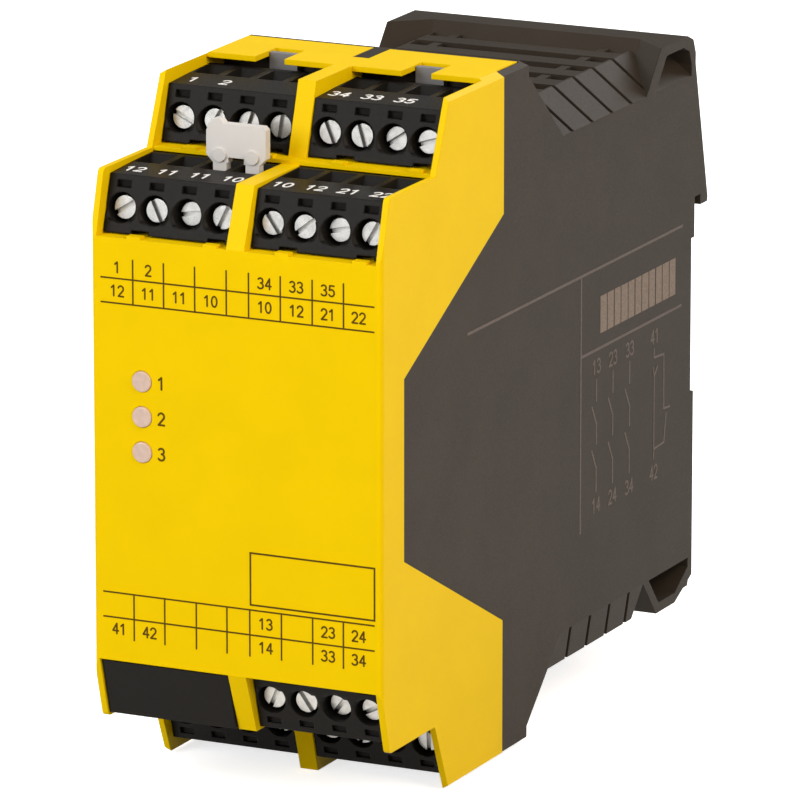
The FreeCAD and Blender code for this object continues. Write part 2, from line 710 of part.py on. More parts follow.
def under_vee():
    """The V-shaped groove in front of the lower rear lip."""
    outline = [
        (VEE_FRONT, VENT_HEIGHT + 0.1),
        (VEE_APEX, SHOULDER_HEIGHT),
        (VEE_APEX + (VENT_HEIGHT + 3.0 - SHOULDER_HEIGHT) * lip_lean(), VENT_HEIGHT + 3.0),
        (VEE_FRONT, VENT_HEIGHT + 3.0),
    ]
    return flip(side_prism(outline, -HALF_WIDTH, HALF_WIDTH))


def under_lip_pockets():
    """Open side pockets that leave the lower lip as a thin shell."""
    reach = BASE_HALF_WIDTH - TOP_CHAMFER
    tools = []
    for side in SIDES.values():
        x_low, x_high = sorted((side * reach, side * (HALF_WIDTH + 1)))
        tools.append(flip(side_prism(under_lip_outline(LIP_SHELL), x_low, x_high)))
    return tools


def base_hollow():
    """The room inside the base, open at the front."""
    half = BASE_HALF_WIDTH - BASE_WALL
    front = side_prism(base_side_outline(BASE_WALL), -half, half)
    roof = VENT_HEIGHT - BASE_WALL
    low_start = VEE_APEX - 3.0
    room = [
        (SLOPE_FOOT - ROOM_STEP, 0),
        (SLOPE_FOOT - ROOM_STEP, roof),
        (low_start - 4.0, roof),
        (low_start, SHOULDER_HEIGHT - BASE_WALL),
        (SEAT_DEPTH - REAR_WALL, SHOULDER_HEIGHT - BASE_WALL),
        (SEAT_DEPTH - REAR_WALL, 0),
    ]
    upper = side_prism(room, -half, half)
    section = cross_prism(vent_section(BASE_WALL), SLOPE_FOOT - ROOM_STEP - CUT_MARGIN, SEAT_DEPTH)
    rear = fuse([upper, flip(upper)]).common(section)
    rim = HIGH_STEP_HEIGHT + CUT_MARGIN
    behind = block((-half - CUT_MARGIN, half + CUT_MARGIN), (SLOPE_FOOT - ROOM_STEP, SEAT_DEPTH), (-rim, rim))
    front = front.cut(behind)
    return fuse([front, rear])


def lap_flanges():
    """Thin inner edge of each side wall that laps under the hood."""
    outer = HALF_WIDTH - HOOD_WALL - FIT
    inner = BASE_HALF_WIDTH - BASE_WALL
    roof = HIGH_STEP_HEIGHT - HOOD_TOP_PLATE - FIT - BASE_WALL
    upper = [
        (NOTCH_FRONT - LAP_LENGTH, NOTCH_HALF_LOW),
        (HOOD_SIDE_REAR - LAP_LENGTH, NOTCH_HALF_HIGH),
        (HOOD_SIDE_REAR - LAP_LENGTH, roof),
        (HOOD_SIDE_REAR + 1.0, roof),
    ]
    outline = mirrored(upper)
    return [side_prism(outline, inner, outer), side_prism(outline, -outer, -inner)]


def tongue_recess():
    """Step in the roof that takes the hood's tongue, with the key left in its notch."""
    recess = block(
        (-(HALF_WIDTH - EDGE_CHAMFER + FIT), HALF_WIDTH - EDGE_CHAMFER + FIT),
        (HOOD_SIDE_REAR - 1, HOOD_TONGUE_REAR + FIT),
        (HIGH_STEP_HEIGHT - HOOD_TOP_PLATE - FIT, HIGH_STEP_HEIGHT + 1),
    )
    half = CENTRE_NOTCH_WIDTH / 2.0 - FIT
    start = HOOD_TONGUE_REAR - CENTRE_NOTCH_LENGTH + FIT
    key = block((-half, half), (start, SEAT_DEPTH), (0, HIGH_STEP_HEIGHT + 2))
    return recess.cut(key)


def board_guides():
    """Pairs of ribs on the rear wall that hold each side board upright."""
    ribs = []
    rear = SEAT_DEPTH - REAR_WALL
    depth = (rear - GUIDE_RIB_LENGTH, rear + CUT_MARGIN / 2.0)
    for side in SIDES.values():
        middle = side * SIDE_BOARD_X
        for way in (-1, 1):
            near = middle + way * (BOARD / 2.0 + GUIDE_PLAY)
            x = sorted((near, near + way * GUIDE_RIB))
            ribs.append(block(x, depth, (-BOARD_HALF_HEIGHT, BOARD_HALF_HEIGHT)))
    return ribs


def latch_guide():
    """Block inside the rear wall that the latch slides in."""
    half = LATCH_HALF_WIDTH + SLIDE_PLAY + GUIDE_WALL
    front = LATCH_BACK - SLIDE_PLAY - GUIDE_WALL
    high = LATCH_TOP + SLIDE_PLAY + GUIDE_WALL
    return block((-half, half), (front, SEAT_DEPTH), (-SHOULDER_HEIGHT, high))


def latch_channel():
    """T-shaped channel for the latch, with a narrow mouth at the seat."""
    high = LATCH_TOP + SLIDE_PLAY
    wide = LATCH_HALF_WIDTH + SLIDE_PLAY
    neck = LATCH_NECK_HALF + SLIDE_PLAY
    low = LATCH_FOOT - LATCH_TRAVEL
    channel = block((-wide, wide), (LATCH_BACK - SLIDE_PLAY, LATCH_SHOULDER + SLIDE_PLAY), (low, high))
    mouth = block((-neck, neck), (LATCH_SHOULDER, SEAT_DEPTH + 1), (low, high))
    return fuse([channel, mouth])


def spring_lug():
    """Stop inside the channel that the latch spring stands on."""
    x = (-SPRING_HALF_WIDTH, SPRING_HALF_WIDTH)
    depth = (LATCH_BACK - SLIDE_PLAY - 0.5, LATCH_BACK + WINDOW_DEPTH_LATCH - SLIDE_PLAY)
    return block(x, depth, (SPRING_FOOT - LUG_HEIGHT, SPRING_FOOT))


def seat_relief():
    """Shallow relief in the rail seat on both sides of its middle pad."""
    tools = []
    for side in SIDES.values():
        x = sorted((side * SEAT_PAD_HALF, side * (HALF_WIDTH + 1)))
        tools.append(block(x, (SEAT_DEPTH - RELIEF_DEPTH, SEAT_DEPTH + 1), (RELIEF_BOTTOM, RELIEF_TOP)))
    return tools


def base_housing():
    half = BASE_HALF_WIDTH
    body = [
        side_prism(base_side_outline(), -half, half),
        cross_prism(vent_section(), SLOPE_FOOT - BODY_OVERLAP, SEAT_DEPTH),
        flip(side_prism(under_lip_outline(), -half, half)),
        side_prism(hook_outline(), -half, half),
    ]
    reach = SEAT_DEPTH + HOOK_GAP + HOOK_THICKNESS + CUT_MARGIN
    shell = fuse(body).common(cross_prism(chamfered_section(half), 0, reach))
    shell = cut(shell, [under_vee()] + under_lip_pockets())
    shell = cut(shell, [base_hollow()])
    shell = cut(shell, vent_cuts())
    shell = cut(fuse([shell, upper_lip()]), vent_slots(FIRST_GROOVE + (TOP_GROOVES - 1) * BLADE_PITCH))
    recess = tongue_recess()
    shell = cut(shell, [recess, flip(recess)] + seat_relief())
    shell = fuse([shell, latch_guide()] + lap_flanges() + board_guides())
    shell = cut(shell, [latch_channel()])
    return fuse([shell, spring_lug()])


# Rail latch and its spring


def latch_nose_outline():
    rail_edge = -RAIL_WIDTH / 2.0
    inner = SEAT_DEPTH + HOOK_GAP - LATCH_NOSE_BITE
    outer = SEAT_DEPTH + LATCH_NOSE_DEPTH
    step = rail_edge - LATCH_RECESS
    return [
        (LATCH_SHOULDER, step),
        (inner, step),
        (inner, rail_edge + LATCH_NOSE_HOOK),
        (inner + LATCH_NOSE_TIP, rail_edge + LATCH_NOSE_HOOK),
        (outer, rail_edge + LATCH_NOSE_LAND[0]),
        (outer, rail_edge + LATCH_NOSE_LAND[1]),
        (SEAT_DEPTH + LATCH_NOSE_BITE, rail_edge - LATCH_NOSE_LOW),
        (LATCH_SHOULDER, rail_edge - LATCH_NOSE_LOW),
    ]


def rail_latch():
    wide = LATCH_HALF_WIDTH
    neck = LATCH_NECK_HALF
    bar = block((-wide, wide), (LATCH_BACK, LATCH_SHOULDER), (LATCH_FOOT, LATCH_TOP))
    spine_depth = (LATCH_SHOULDER - 0.5, SEAT_DEPTH - LATCH_RECESS)
    spine = block((-neck, neck), spine_depth, (LATCH_FOOT, -RAIL_WIDTH / 2.0 - LATCH_RECESS))
    nose = side_prism(latch_nose_outline(), -neck, neck)
    window_half = SPRING_HALF_WIDTH + SLIDE_PLAY * 2.0
    window_low = SPRING_FOOT - LUG_HEIGHT - SLIDE_PLAY
    window = block(
        (-window_half, window_half),
        (LATCH_BACK - 1, LATCH_BACK + WINDOW_DEPTH_LATCH),
        (window_low, SPRING_TOP),
    )
    eye_half = neck - LATCH_EYE_WEB
    eye_height = (LATCH_FOOT + LATCH_EYE[0], LATCH_FOOT + LATCH_EYE[1])
    eye = block((-eye_half, eye_half), (LATCH_BACK - 1, SEAT_DEPTH + 1), eye_height)
    return cut(fuse([bar, spine, nose]), [window, eye])


def latch_spring():
    """Folded strip spring between the base's lug and the top of the latch's window."""
    low = SPRING_FOOT
    high = SPRING_TOP
    step = (high - low - SPRING_STRIP) / SPRING_FOLDS
    half = SPRING_HALF_WIDTH
    depth = (LATCH_BACK + 0.2, LATCH_BACK + WINDOW_DEPTH_LATCH - 0.4)
    strips = []
    for index in range(SPRING_FOLDS + 1):
        z = low + index * step
        strips.append(block((-half, half), depth, (z, z + SPRING_STRIP)))
        if index < SPRING_FOLDS:
            side = 1 if index % 2 else -1
            x = sorted((side * half, side * (half - SPRING_STRIP)))
            strips.append(block(x, depth, (z, z + step + SPRING_STRIP)))
    return fuse(strips)


# Plugs: every shape here is drawn for an upper plug and mirrored for a lower one


def plug_seat(plug):
    """Depth and height of a plug's lower front edge, its way up and its middle X."""
    tier, way, side = PLUGS[plug]
    return PLUG_DEPTHS[tier], PLUG_FLOORS[tier], way, side * PLUG_CENTRE


def pole_positions(middle):
    return [middle + PITCH * (index - (POLES - 1) / 2.0) for index in range(POLES)]


def plug_outline(depth, floor):
    points = [
        (0, 0),
        (PLUG_FACE_LEAN, PLUG_FACE_HEIGHT),
        (PLUG_STRIP_REAR, PLUG_STRIP_HEIGHT),
        (PLUG_TOP_REAR, PLUG_TOP_HEIGHT),
        (PLUG_TOP_REAR, PLUG_REAR_HEIGHT),
        (PLUG_REAR, PLUG_REAR_HEIGHT),
        (PLUG_REAR, 0),
    ]
    return [(depth + d, floor + z) for d, z in points]


def screw_axis():
    """Unit direction of a screw, pointing into the plug."""
    tilt = math.radians(SCREW_TILT)
    return Vector(0, math.cos(tilt), -math.sin(tilt))


def face_point(x, depth, floor):
    """Where a screw's axis meets the plug's leaning face."""
    lean = PLUG_FACE_LEAN * SCREW_HEIGHT / PLUG_FACE_HEIGHT
    return Vector(x, place(depth + lean), floor + SCREW_HEIGHT)


def clamp_centre(x, depth, floor):
    start = face_point(x, depth, floor)
    axis = screw_axis()
    travel = (place(depth + CLAMP_DEPTH) - start.y) / axis.y
    return start + axis * travel


def tilted_box(centre, length, width, height):
    """Box whose length lies along the screw axis."""
    box = Part.makeBox(width, length, height, Vector(-width / 2.0, -length / 2.0, -height / 2.0))
    box.rotate(Vector(0, 0, 0), Vector(1, 0, 0), -SCREW_TILT)
    box.translate(centre)
    return box


def loft(low_corners, high_corners):
    wires = []
    for corners in (low_corners, high_corners):
        wires.append(Part.makePolygon(list(corners) + [corners[0]]))
    return Part.makeLoft(wires, True, True)


def wire_funnel(x, depth, floor):
    """Tapered wire entry from the plug's top down to the clamp."""
    centre = clamp_centre(x, depth, floor)
    half_low = FUNNEL_LOW_WIDTH / 2.0
    low_z = centre.z + CLAMP_HEIGHT / 2.0 - 0.2
    half = FUNNEL_WIDTH / 2.0
    top = floor + PLUG_TOP_HEIGHT + 0.3
    inner = CLAMP_LENGTH / 2.0 - CLAMP_SHEET
    low = [
        Vector(x - half_low, centre.y - inner, low_z),
        Vector(x + half_low, centre.y - inner, low_z),
        Vector(x + half_low, centre.y + inner, low_z),
        Vector(x - half_low, centre.y + inner, low_z),
    ]
    high = [
        Vector(x - half, place(depth + FUNNEL_FRONT), top),
        Vector(x + half, place(depth + FUNNEL_FRONT), top),
        Vector(x + half, place(depth + FUNNEL_REAR), top),
        Vector(x - half, place(depth + FUNNEL_REAR), top),
    ]
    return loft(low, high)


def pole_cuts(x, depth, floor):
    """All the hollows of one pole: screw recess, clamp room, wire funnel, test window, pin way."""
    start = face_point(x, depth, floor)
    axis = screw_axis()
    centre = clamp_centre(x, depth, floor)
    seat = max(SINK_DEPTHS) + HEAD_THICKNESS + SLIDE_PLAY
    chamfer_radius = RECESS_RADIUS + RECESS_CHAMFER * 2.0
    play = CLAMP_PLAY * 2.0
    room = (CLAMP_LENGTH + play, CLAMP_WIDTH + play, CLAMP_HEIGHT + play)
    pin_z = floor + PIN_HEIGHT
    socket = SOCKET_SIZE / 2.0 + CLAMP_PLAY
    lean = PLUG_FACE_LEAN / PLUG_FACE_HEIGHT
    window_z = SCREW_HEIGHT + TEST_WINDOW_RISE
    window_front = depth + lean * window_z
    return [
        Part.makeCylinder(RECESS_RADIUS, seat + 2, start - axis * 2, axis),
        Part.makeCone(
            chamfer_radius, RECESS_RADIUS, RECESS_CHAMFER * 2.0, start - axis * RECESS_CHAMFER, axis
        ),
        Part.makeCylinder(SHANK_RADIUS + SLIDE_PLAY, CLAMP_DEPTH, start, axis),
        tilted_box(centre, *room),
        wire_funnel(x, depth, floor),
        block(
            (x - socket, x + socket),
            (depth + CLAMP_DEPTH, depth + PLUG_REAR - SOCKET_WALL * 2.0),
            (pin_z - socket, pin_z + socket),
        ),
        block(
            (x - PIN_SIZE / 2.0 - SLIDE_PLAY, x + PIN_SIZE / 2.0 + SLIDE_PLAY),
            (depth + CLAMP_DEPTH, depth + PLUG_REAR + 1),
            (pin_z - PIN_SIZE / 2.0 - SLIDE_PLAY, pin_z + PIN_SIZE / 2.0 + SLIDE_PLAY),
        ),
        block(
            (x - TEST_WINDOW_WIDTH / 2.0, x + TEST_WINDOW_WIDTH / 2.0),
            (window_front - 1, window_front + TEST_WINDOW_DEPTH),
            (floor + window_z - TEST_WINDOW_HEIGHT / 2.0, floor + window_z + TEST_WINDOW_HEIGHT / 2.0),
        ),
    ]


def plug_body(plug):
    depth, floor, way, middle = plug_seat(plug)
    half = PLUG_WIDTH / 2.0
    body = side_prism(plug_outline(depth, floor), middle - half, middle + half)
    tools = []
    for x in pole_positions(middle):
        tools += pole_cuts(x, depth, floor)
    for offset in TAB_OFFSETS:
        slot_half = TAB_WIDTH / 2.0 + PLUG_SEAT_GAP
        x = (middle + offset - slot_half, middle + offset + slot_half)
        tools.append(block(x, (depth - 1, depth + PLUG_REAR + 1), (floor - 1, floor + KEY_SLOT_HEIGHT)))
    body = cut(body, tools)
    return body if way > 0 else flip(body)


def screw_group(plug):
    depth, floor, way, middle = plug_seat(plug)
    axis = screw_axis()
    solids = []
    for index, x in enumerate(pole_positions(middle)):
        sink = SINK_DEPTHS[index % len(SINK_DEPTHS)]
        top = face_point(x, depth, floor) + axis * sink
        head = Part.makeCylinder(HEAD_RADIUS, HEAD_THICKNESS, top, axis)
        shank = Part.makeCylinder(SHANK_RADIUS, SHANK_LENGTH - sink, top + axis * 0.5, axis)
        length = HEAD_RADIUS * 2.0 + 1
        slot = Part.makeBox(
            length,
            DRIVER_SLOT_DEPTH * 2.0,
            DRIVER_SLOT_WIDTH,
            Vector(-length / 2.0, -DRIVER_SLOT_DEPTH, -DRIVER_SLOT_WIDTH / 2.0),
        )
        angles = SLOT_ANGLES[plug]
        slot.rotate(Vector(0, 0, 0), Vector(0, 1, 0), -way * angles[index % len(angles)])
        slot.rotate(Vector(0, 0, 0), Vector(1, 0, 0), -SCREW_TILT)
        slot.translate(top)
        solids.append(cut(fuse([head, shank]), [slot]))
    return solids if way > 0 else [flip(solid) for solid in solids]


def clamp_group(plug):
    """Clamp cages, each with the socket that takes a header pin."""
    depth, floor, way, middle = plug_seat(plug)
    axis = screw_axis()
    solids = []
    for x in pole_positions(middle):
        centre = clamp_centre(x, depth, floor)
        cage = tilted_box(centre, CLAMP_LENGTH, CLAMP_WIDTH, CLAMP_HEIGHT)
        room = tilted_box(
            centre, CLAMP_LENGTH - 2 * CLAMP_SHEET, CLAMP_WIDTH - 2 * CLAMP_SHEET, CLAMP_HEIGHT + 1
        )
        pin_z = floor + PIN_HEIGHT
        socket_half = SOCKET_SIZE / 2.0
        rear = depth + PLUG_REAR - SOCKET_WALL * 3.0
        front = depth + CLAMP_DEPTH + CLAMP_LENGTH / 2.0 - CLAMP_SHEET / 2.0
        socket = block(
            (x - socket_half, x + socket_half), (front, rear), (pin_z - socket_half, pin_z + socket_half)
        )
        bore_half = PIN_SIZE / 2.0 + PIN_PLAY * 2.0
        bore = block(
            (x - bore_half, x + bore_half),
            (front + CLAMP_SHEET, rear + 1),
            (pin_z - bore_half, pin_z + bore_half),
        )
        hole = Part.makeCylinder(SHANK_RADIUS + PIN_PLAY, CLAMP_LENGTH, centre - axis * CLAMP_LENGTH, axis)
        solids.append(cut(fuse([cage.cut(room), socket]), [hole, bore]))
    return solids if way > 0 else [flip(solid) for solid in solids]


def header_body(plug):
    depth, floor, way, middle = plug_seat(plug)
    half = HEADER_WIDTH / 2.0
    front = depth + PLUG_REAR + HEADER_GAP
    body = block(
        (middle - half, middle + half),
        (front, front + HEADER_LENGTH),
        (floor + HEADER_LOW, floor + HEADER_HIGH),
    )
    tools = []
    pin_half = PIN_SIZE / 2.0 + PIN_PLAY
    for x in pole_positions(middle):
        tools.append(
            block(
                (x - pin_half, x + pin_half),
                (front - 1, front + HEADER_LENGTH + 1),
                (floor + PIN_HEIGHT - pin_half, floor + PIN_HEIGHT + pin_half),
            )
        )
    body = cut(body, tools)
    if PLUGS[plug][0] == "high":
        tab_half = HEADER_TAB_WIDTH / 2.0
        tab_depth = (front + HEADER_TAB_DEPTH[0], front + HEADER_TAB_DEPTH[1])
        tab_height = (floor + HEADER_HIGH - 0.5, HIGH_STEP_HEIGHT - HEADER_TAB_DROP)
        body = fuse([body, block((middle - tab_half, middle + tab_half), tab_depth, tab_height)])
    return body if way > 0 else flip(body)


def pin_group(plug):
    """Pins that run back out of the header and turn in to the side board's face, or end at its edge."""
    depth, floor, way, middle = plug_seat(plug)
    front = depth + PLUG_REAR - PIN_REACH
    header_rear = depth + PLUG_REAR + HEADER_GAP + HEADER_LENGTH
    low = floor + PIN_HEIGHT - PIN_SIZE / 2.0
    solids = []
    for index, x in enumerate(pole_positions(middle)):
        outer = index in (0, POLES - 1)
        in_line = abs(x - middle) < (BOARD + PIN_SIZE) / 2.0
        tail = header_rear if in_line else header_rear + (PIN_TAILS[0] if outer else PIN_TAILS[1])
        z = (low, low + PIN_SIZE)
        pin = block((x - PIN_SIZE / 2.0, x + PIN_SIZE / 2.0), (front, tail), z)
        if not in_line:
            board_face = middle + math.copysign(BOARD / 2.0, x - middle)
            leg_x = sorted((board_face, x))
            pin = fuse([pin, block(leg_x, (tail - PIN_SIZE, tail), z)])
        solids.append(pin)
    return solids if way > 0 else [flip(solid) for solid in solids]


def blank_filler():
    """Clip-in cover for the unused lower front left pocket, flush with the hood's edge."""
    floor = PLUG_FLOORS["low"]
    middle = -PLUG_CENTRE
    half = PLUG_WIDTH / 2.0
    top = LOW_STEP_HEIGHT - RIB_DROP - FIT
    lean = LOW_STEP_FRONT / (LOW_STEP_HEIGHT - FRONT_HALF_HEIGHT)
    front = FILLER_SINK + lean * (floor - FRONT_HALF_HEIGHT)
    rear = PLUG_LOW_DEPTH + PLUG_TOP_REAR
    solid = side_prism(
        [(front, floor), (front + lean * (top - floor), top), (rear, top), (rear, floor)],
        middle - half,
        middle + half,
    )
    wall = FILLER_WALL
    hollow = [
        (front + wall, floor - 1),
        (front + wall + lean * (top - wall - floor), top - wall),
        (rear + 1, top - wall),
        (rear + 1, floor - 1),
    ]
    return flip(solid.cut(side_prism(hollow, middle - half + wall, middle + half - wall)))


# Insertion bridge


def bridge_centres():
    middle = -PLUG_CENTRE
    poles = pole_positions(middle)
    return [poles[index] for index in BRIDGE_POLES]


def bridge_grip():
    """Insulating plate of the bridge with its two legs and bosses."""
    first, second = bridge_centres()
    middle = (first + second) / 2.0
    left = middle - BRIDGE_WIDTH / 2.0
    right = middle + BRIDGE_WIDTH / 2.0
    depth = (BRIDGE_DEPTH - BRIDGE_THICKNESS / 2.0, BRIDGE_DEPTH + BRIDGE_THICKNESS / 2.0)
    outline = [
        (left, BRIDGE_LOW + 1.0),
        (left, BRIDGE_HIGH - 1.2),
        (left + 0.6, BRIDGE_HIGH + BRIDGE_STEP - 0.5),
        (left + 1.1, BRIDGE_HIGH + BRIDGE_STEP),
        (left + BRIDGE_STEP_WIDTH, BRIDGE_HIGH + BRIDGE_STEP),
        (left + BRIDGE_STEP_WIDTH + 0.5, BRIDGE_HIGH),
        (right - 0.5, BRIDGE_HIGH),
        (right, BRIDGE_HIGH - 0.5),
        (right, BRIDGE_LOW + 1.0),
        (right - 1.0, BRIDGE_LOW),
        (left + 1.0, BRIDGE_LOW),
    ]
    plate = cross_prism(outline, *depth)
    pieces = [plate]
    floor = PLUG_FLOORS["low"]
    for x in (first, second):
        leg_x = (x - BRIDGE_LEG_WIDTH / 2.0, x + BRIDGE_LEG_WIDTH / 2.0)
        pieces.append(block(leg_x, depth, (floor + PLUG_TOP_HEIGHT - 0.9, BRIDGE_LOW + 0.5)))
        start = Vector(x, place(depth[0] - BRIDGE_BOSS_PROUD), BRIDGE_LOW + 1.1)
        pieces.append(Part.makeCylinder(BRIDGE_BOSS_RADIUS, 1.0, start, Vector(0, 1, 0)))
    grip = fuse(pieces)
    gap_x = (first + BRIDGE_GAP_INSET, second - BRIDGE_GAP_INSET)
    gap = block(gap_x, (depth[0] - 1, depth[1] + 1), (BRIDGE_LOW - 1, BRIDGE_LOW + BRIDGE_GAP_HEIGHT))
    tools = [gap]
    room = FORK_THICKNESS / 2.0 + PIN_PLAY
    fork_depth = (BRIDGE_DEPTH - room, BRIDGE_DEPTH + room)
    low, high = BRIDGE_LOW + FORK_BAR[0] - PIN_PLAY, BRIDGE_LOW + FORK_BAR[1] + PIN_PLAY
    for x in (first, second):
        slot_x = (x - FORK_WIDTH / 2.0 - PIN_PLAY, x + FORK_WIDTH / 2.0 + PIN_PLAY)
        tools.append(block(slot_x, fork_depth, (floor, high)))
    tools.append(block((first, second), fork_depth, (low, high)))
    return cut(grip, tools)


def bridge_fork():
    """Metal fork inside the bridge: one bar and two prongs bent forward into the clamps."""
    first, second = bridge_centres()
    low = BRIDGE_LOW
    half = FORK_THICKNESS / 2.0
    floor = PLUG_FLOORS["low"]
    depth = (BRIDGE_DEPTH - half, BRIDGE_DEPTH + half)
    bar_top = low + FORK_BAR[1]
    pieces = [block((first, second), depth, (low + FORK_BAR[0], bar_top))]
    clamp = clamp_centre(0, PLUG_LOW_DEPTH, floor)
    clamp_depth = clamp.y + SEAT_DEPTH
    knee = floor + PLUG_TOP_HEIGHT - 1.4
    elbow = clamp.z + CLAMP_HEIGHT / 2.0 + 0.6
    tip = clamp.z - CLAMP_HEIGHT / 4.0
    outline = [
        (BRIDGE_DEPTH - half, bar_top),
        (BRIDGE_DEPTH - half, knee),
        (clamp_depth + 0.6 - half * 1.6, elbow),
        (clamp_depth + 0.2 - half, tip),
        (clamp_depth + 0.2 + half * 0.6, tip),
        (clamp_depth + 0.6 + half, elbow - 0.4),
        (BRIDGE_DEPTH + half, knee - 0.5),
        (BRIDGE_DEPTH + half, bar_top),
    ]
    for x in (first, second):
        pieces.append(side_prism(outline, x - FORK_WIDTH / 2.0, x + FORK_WIDTH / 2.0))
    return fuse(pieces)


# Lamps


def lamp_lens(height):
    """Light guide: rounded front, collar behind the front plate and a stem back to the lamp."""
    axis = Vector(0, 1, 0)
    led_front = FRONT_BOARD_DEPTH - LED_SIZE[1]
    tip = Vector(LAMP_X, place(-LAMP_PROUD), height)
    rear_face = Vector(LAMP_X, place(FRONT_PLATE), height)
    front = Part.makeCylinder(LAMP_RADIUS, FRONT_PLATE + LAMP_PROUD, tip, axis)
    rim = [edge for edge in front.Edges if edge.BoundBox.YMax < place(-LAMP_PROUD) + 0.01]
    front = front.makeFillet(LAMP_PROUD * 0.8, rim)
    collar = Part.makeCylinder(LAMP_RADIUS + LAMP_FLANGE, LAMP_FLANGE, rear_face, axis)
    stem = Part.makeCylinder(LAMP_STEM_RADIUS, led_front - FIT - FRONT_PLATE, rear_face, axis)
    return fuse([front, collar, stem])


def status_led(height):
    width, thickness, tall = LED_SIZE
    return block(
        (LAMP_X - width / 2.0, LAMP_X + width / 2.0),
        (FRONT_BOARD_DEPTH - thickness, FRONT_BOARD_DEPTH),
        (height - tall / 2.0, height + tall / 2.0),
    )


# Boards and their components


def front_board():
    half = FRONT_BOARD_HALF_WIDTH
    height = FRONT_BOARD_HALF_HEIGHT
    return block((-half, half), (FRONT_BOARD_DEPTH, FRONT_BOARD_DEPTH + BOARD), (-height, height))


def side_board(side):
    """Upright board behind the headers of one column of plugs."""
    header_rear = PLUG_REAR + HEADER_GAP + HEADER_LENGTH
    low_rear = PLUG_LOW_DEPTH + header_rear
    high_rear = PLUG_HIGH_DEPTH + header_rear
    low_top = HIGH_SHELF_HEIGHT - HIGH_SHELF_THICKNESS - BOARD_SHELF_GAP
    upper = [
        (FRONT_BOARD_DEPTH + BOARD, FRONT_BOARD_HALF_HEIGHT),
        (low_rear, FRONT_BOARD_HALF_HEIGHT),
        (low_rear, low_top),
        (high_rear, low_top),
        (high_rear, PLUG_FLOORS["high"] + HEADER_HIGH),
        (high_rear + PIN_TAILS[0] + 0.6, PLUG_FLOORS["high"] + HEADER_HIGH),
        (SLOPE_FOOT - 4.0, BOARD_HALF_HEIGHT),
        (BOARD_REAR, BOARD_HALF_HEIGHT),
    ]
    middle = SIDES[side] * SIDE_BOARD_X
    return side_prism(mirrored(upper), middle - BOARD / 2.0, middle + BOARD / 2.0)


def on_board(side, height, inward=True):
    """(low, high) X of something that stands on a side board, on its inner or outer face."""
    middle = SIDES[side] * SIDE_BOARD_X
    way = -SIDES[side] if inward else SIDES[side]
    near = middle + way * BOARD / 2.0
    return sorted((near, near + way * height))


def sealed_relay(side):
    tall, length, wide = RELAY_SIZE
    z = RELAY_HEIGHTS[side]
    body = block(on_board(side, tall), (RELAY_FRONT, RELAY_FRONT + length), (z - wide / 2.0, z + wide / 2.0))
    return body.makeChamfer(0.5, [edge for edge in body.Edges if edge.Length > length - 0.1])


def transformer_core():
    tall, length, wide = TRANSFORMER_CORE
    z = TRANSFORMER_HEIGHT
    depth = (TRANSFORMER_FRONT, TRANSFORMER_FRONT + length)
    core = block(on_board("left", tall), depth, (z - wide / 2.0, z + wide / 2.0))
    return core.cut(transformer_room(0.0))


def transformer_room(play):
    """Space inside the core that the coil former takes."""
    tall, length, wide = TRANSFORMER_CORE
    z = TRANSFORMER_HEIGHT
    low, high = on_board("left", tall)
    margin = COIL_MARGIN * 2.0
    return block(
        (low + COIL_MARGIN + play, high - COIL_MARGIN - play),
        (TRANSFORMER_FRONT + margin + play, TRANSFORMER_FRONT + length - margin - play),
        (z - wide / 2.0 - COIL_OVERHANG + play, z + wide / 2.0 + COIL_OVERHANG - play),
    )


def transformer_coil():
    return transformer_room(PIN_PLAY)


def bulk_capacitor():
    low, high = on_board("right", CAPACITOR_LENGTH)
    depth, height = CAPACITOR_PLACE
    start = Vector(low, place(depth), height)
    can = Part.makeCylinder(CAPACITOR_RADIUS, CAPACITOR_LENGTH, start, Vector(1, 0, 0))
    return can.makeFillet(0.6, [edge for edge in can.Edges if abs(edge.CenterOfMass.x - low) < 1e-6])


def board_fuse():
    low = on_board("left", FUSE_LENGTH)[0]
    depth, height = FUSE_PLACE
    return Part.makeCylinder(FUSE_RADIUS, FUSE_LENGTH, Vector(low, place(depth), height), Vector(1, 0, 0))


def surge_disc():
    """Disc-shaped surge arrester standing on edge on the left board."""
    low = on_board("left", DISC_RADIUS * 2.0)[0]
    depth, height = DISC_PLACE
    start = Vector(low + DISC_RADIUS, place(depth), height - DISC_THICKNESS / 2.0)
    return Part.makeCylinder(DISC_RADIUS, DISC_THICKNESS, start, Vector(0, 0, 1))


def logic_chip(side):
    thick, length, tall = LOGIC_SIZE
    depth, height = LOGIC_PLACE
    return block(
        on_board(side, thick, inward=False),
        (depth - length / 2.0, depth + length / 2.0),
        (height - tall / 2.0, height + tall / 2.0),
    )


def main():
    os.makedirs("parts", exist_ok=True)
    export("front_hood", front_hood())
    export("base_housing", base_housing())
    export("rail_latch", rail_latch())
    export("latch_spring", latch_spring())
    export("blank_filler", blank_filler())
    export("bridge_grip", bridge_grip())
    export("bridge_fork", bridge_fork())
    for plug in PLUGS:
        export(f"plug_{plug}", plug_body(plug))
        export_group(f"screws_{plug}", screw_group(plug))
        export_group(f"clamps_{plug}", clamp_group(plug))
        export(f"header_{plug}", header_body(plug))
        export_group(f"pins_{plug}", pin_group(plug))
    for name, height in LAMP_HEIGHTS.items():
        export(f"lens_{name}", lamp_lens(height))
        export(f"led_{name}", status_led(height))
    export("front_board", front_board())
    for side in SIDES:
        export(f"{side}_board", side_board(side))
        export(f"relay_{side}", sealed_relay(side))
        export(f"logic_chip_{side}", logic_chip(side))
    export("transformer_core", transformer_core())
    export("transformer_coil", transformer_coil())
    export("bulk_capacitor", bulk_capacitor())
    export("board_fuse", board_fuse())
    export("surge_disc", surge_disc())


main()
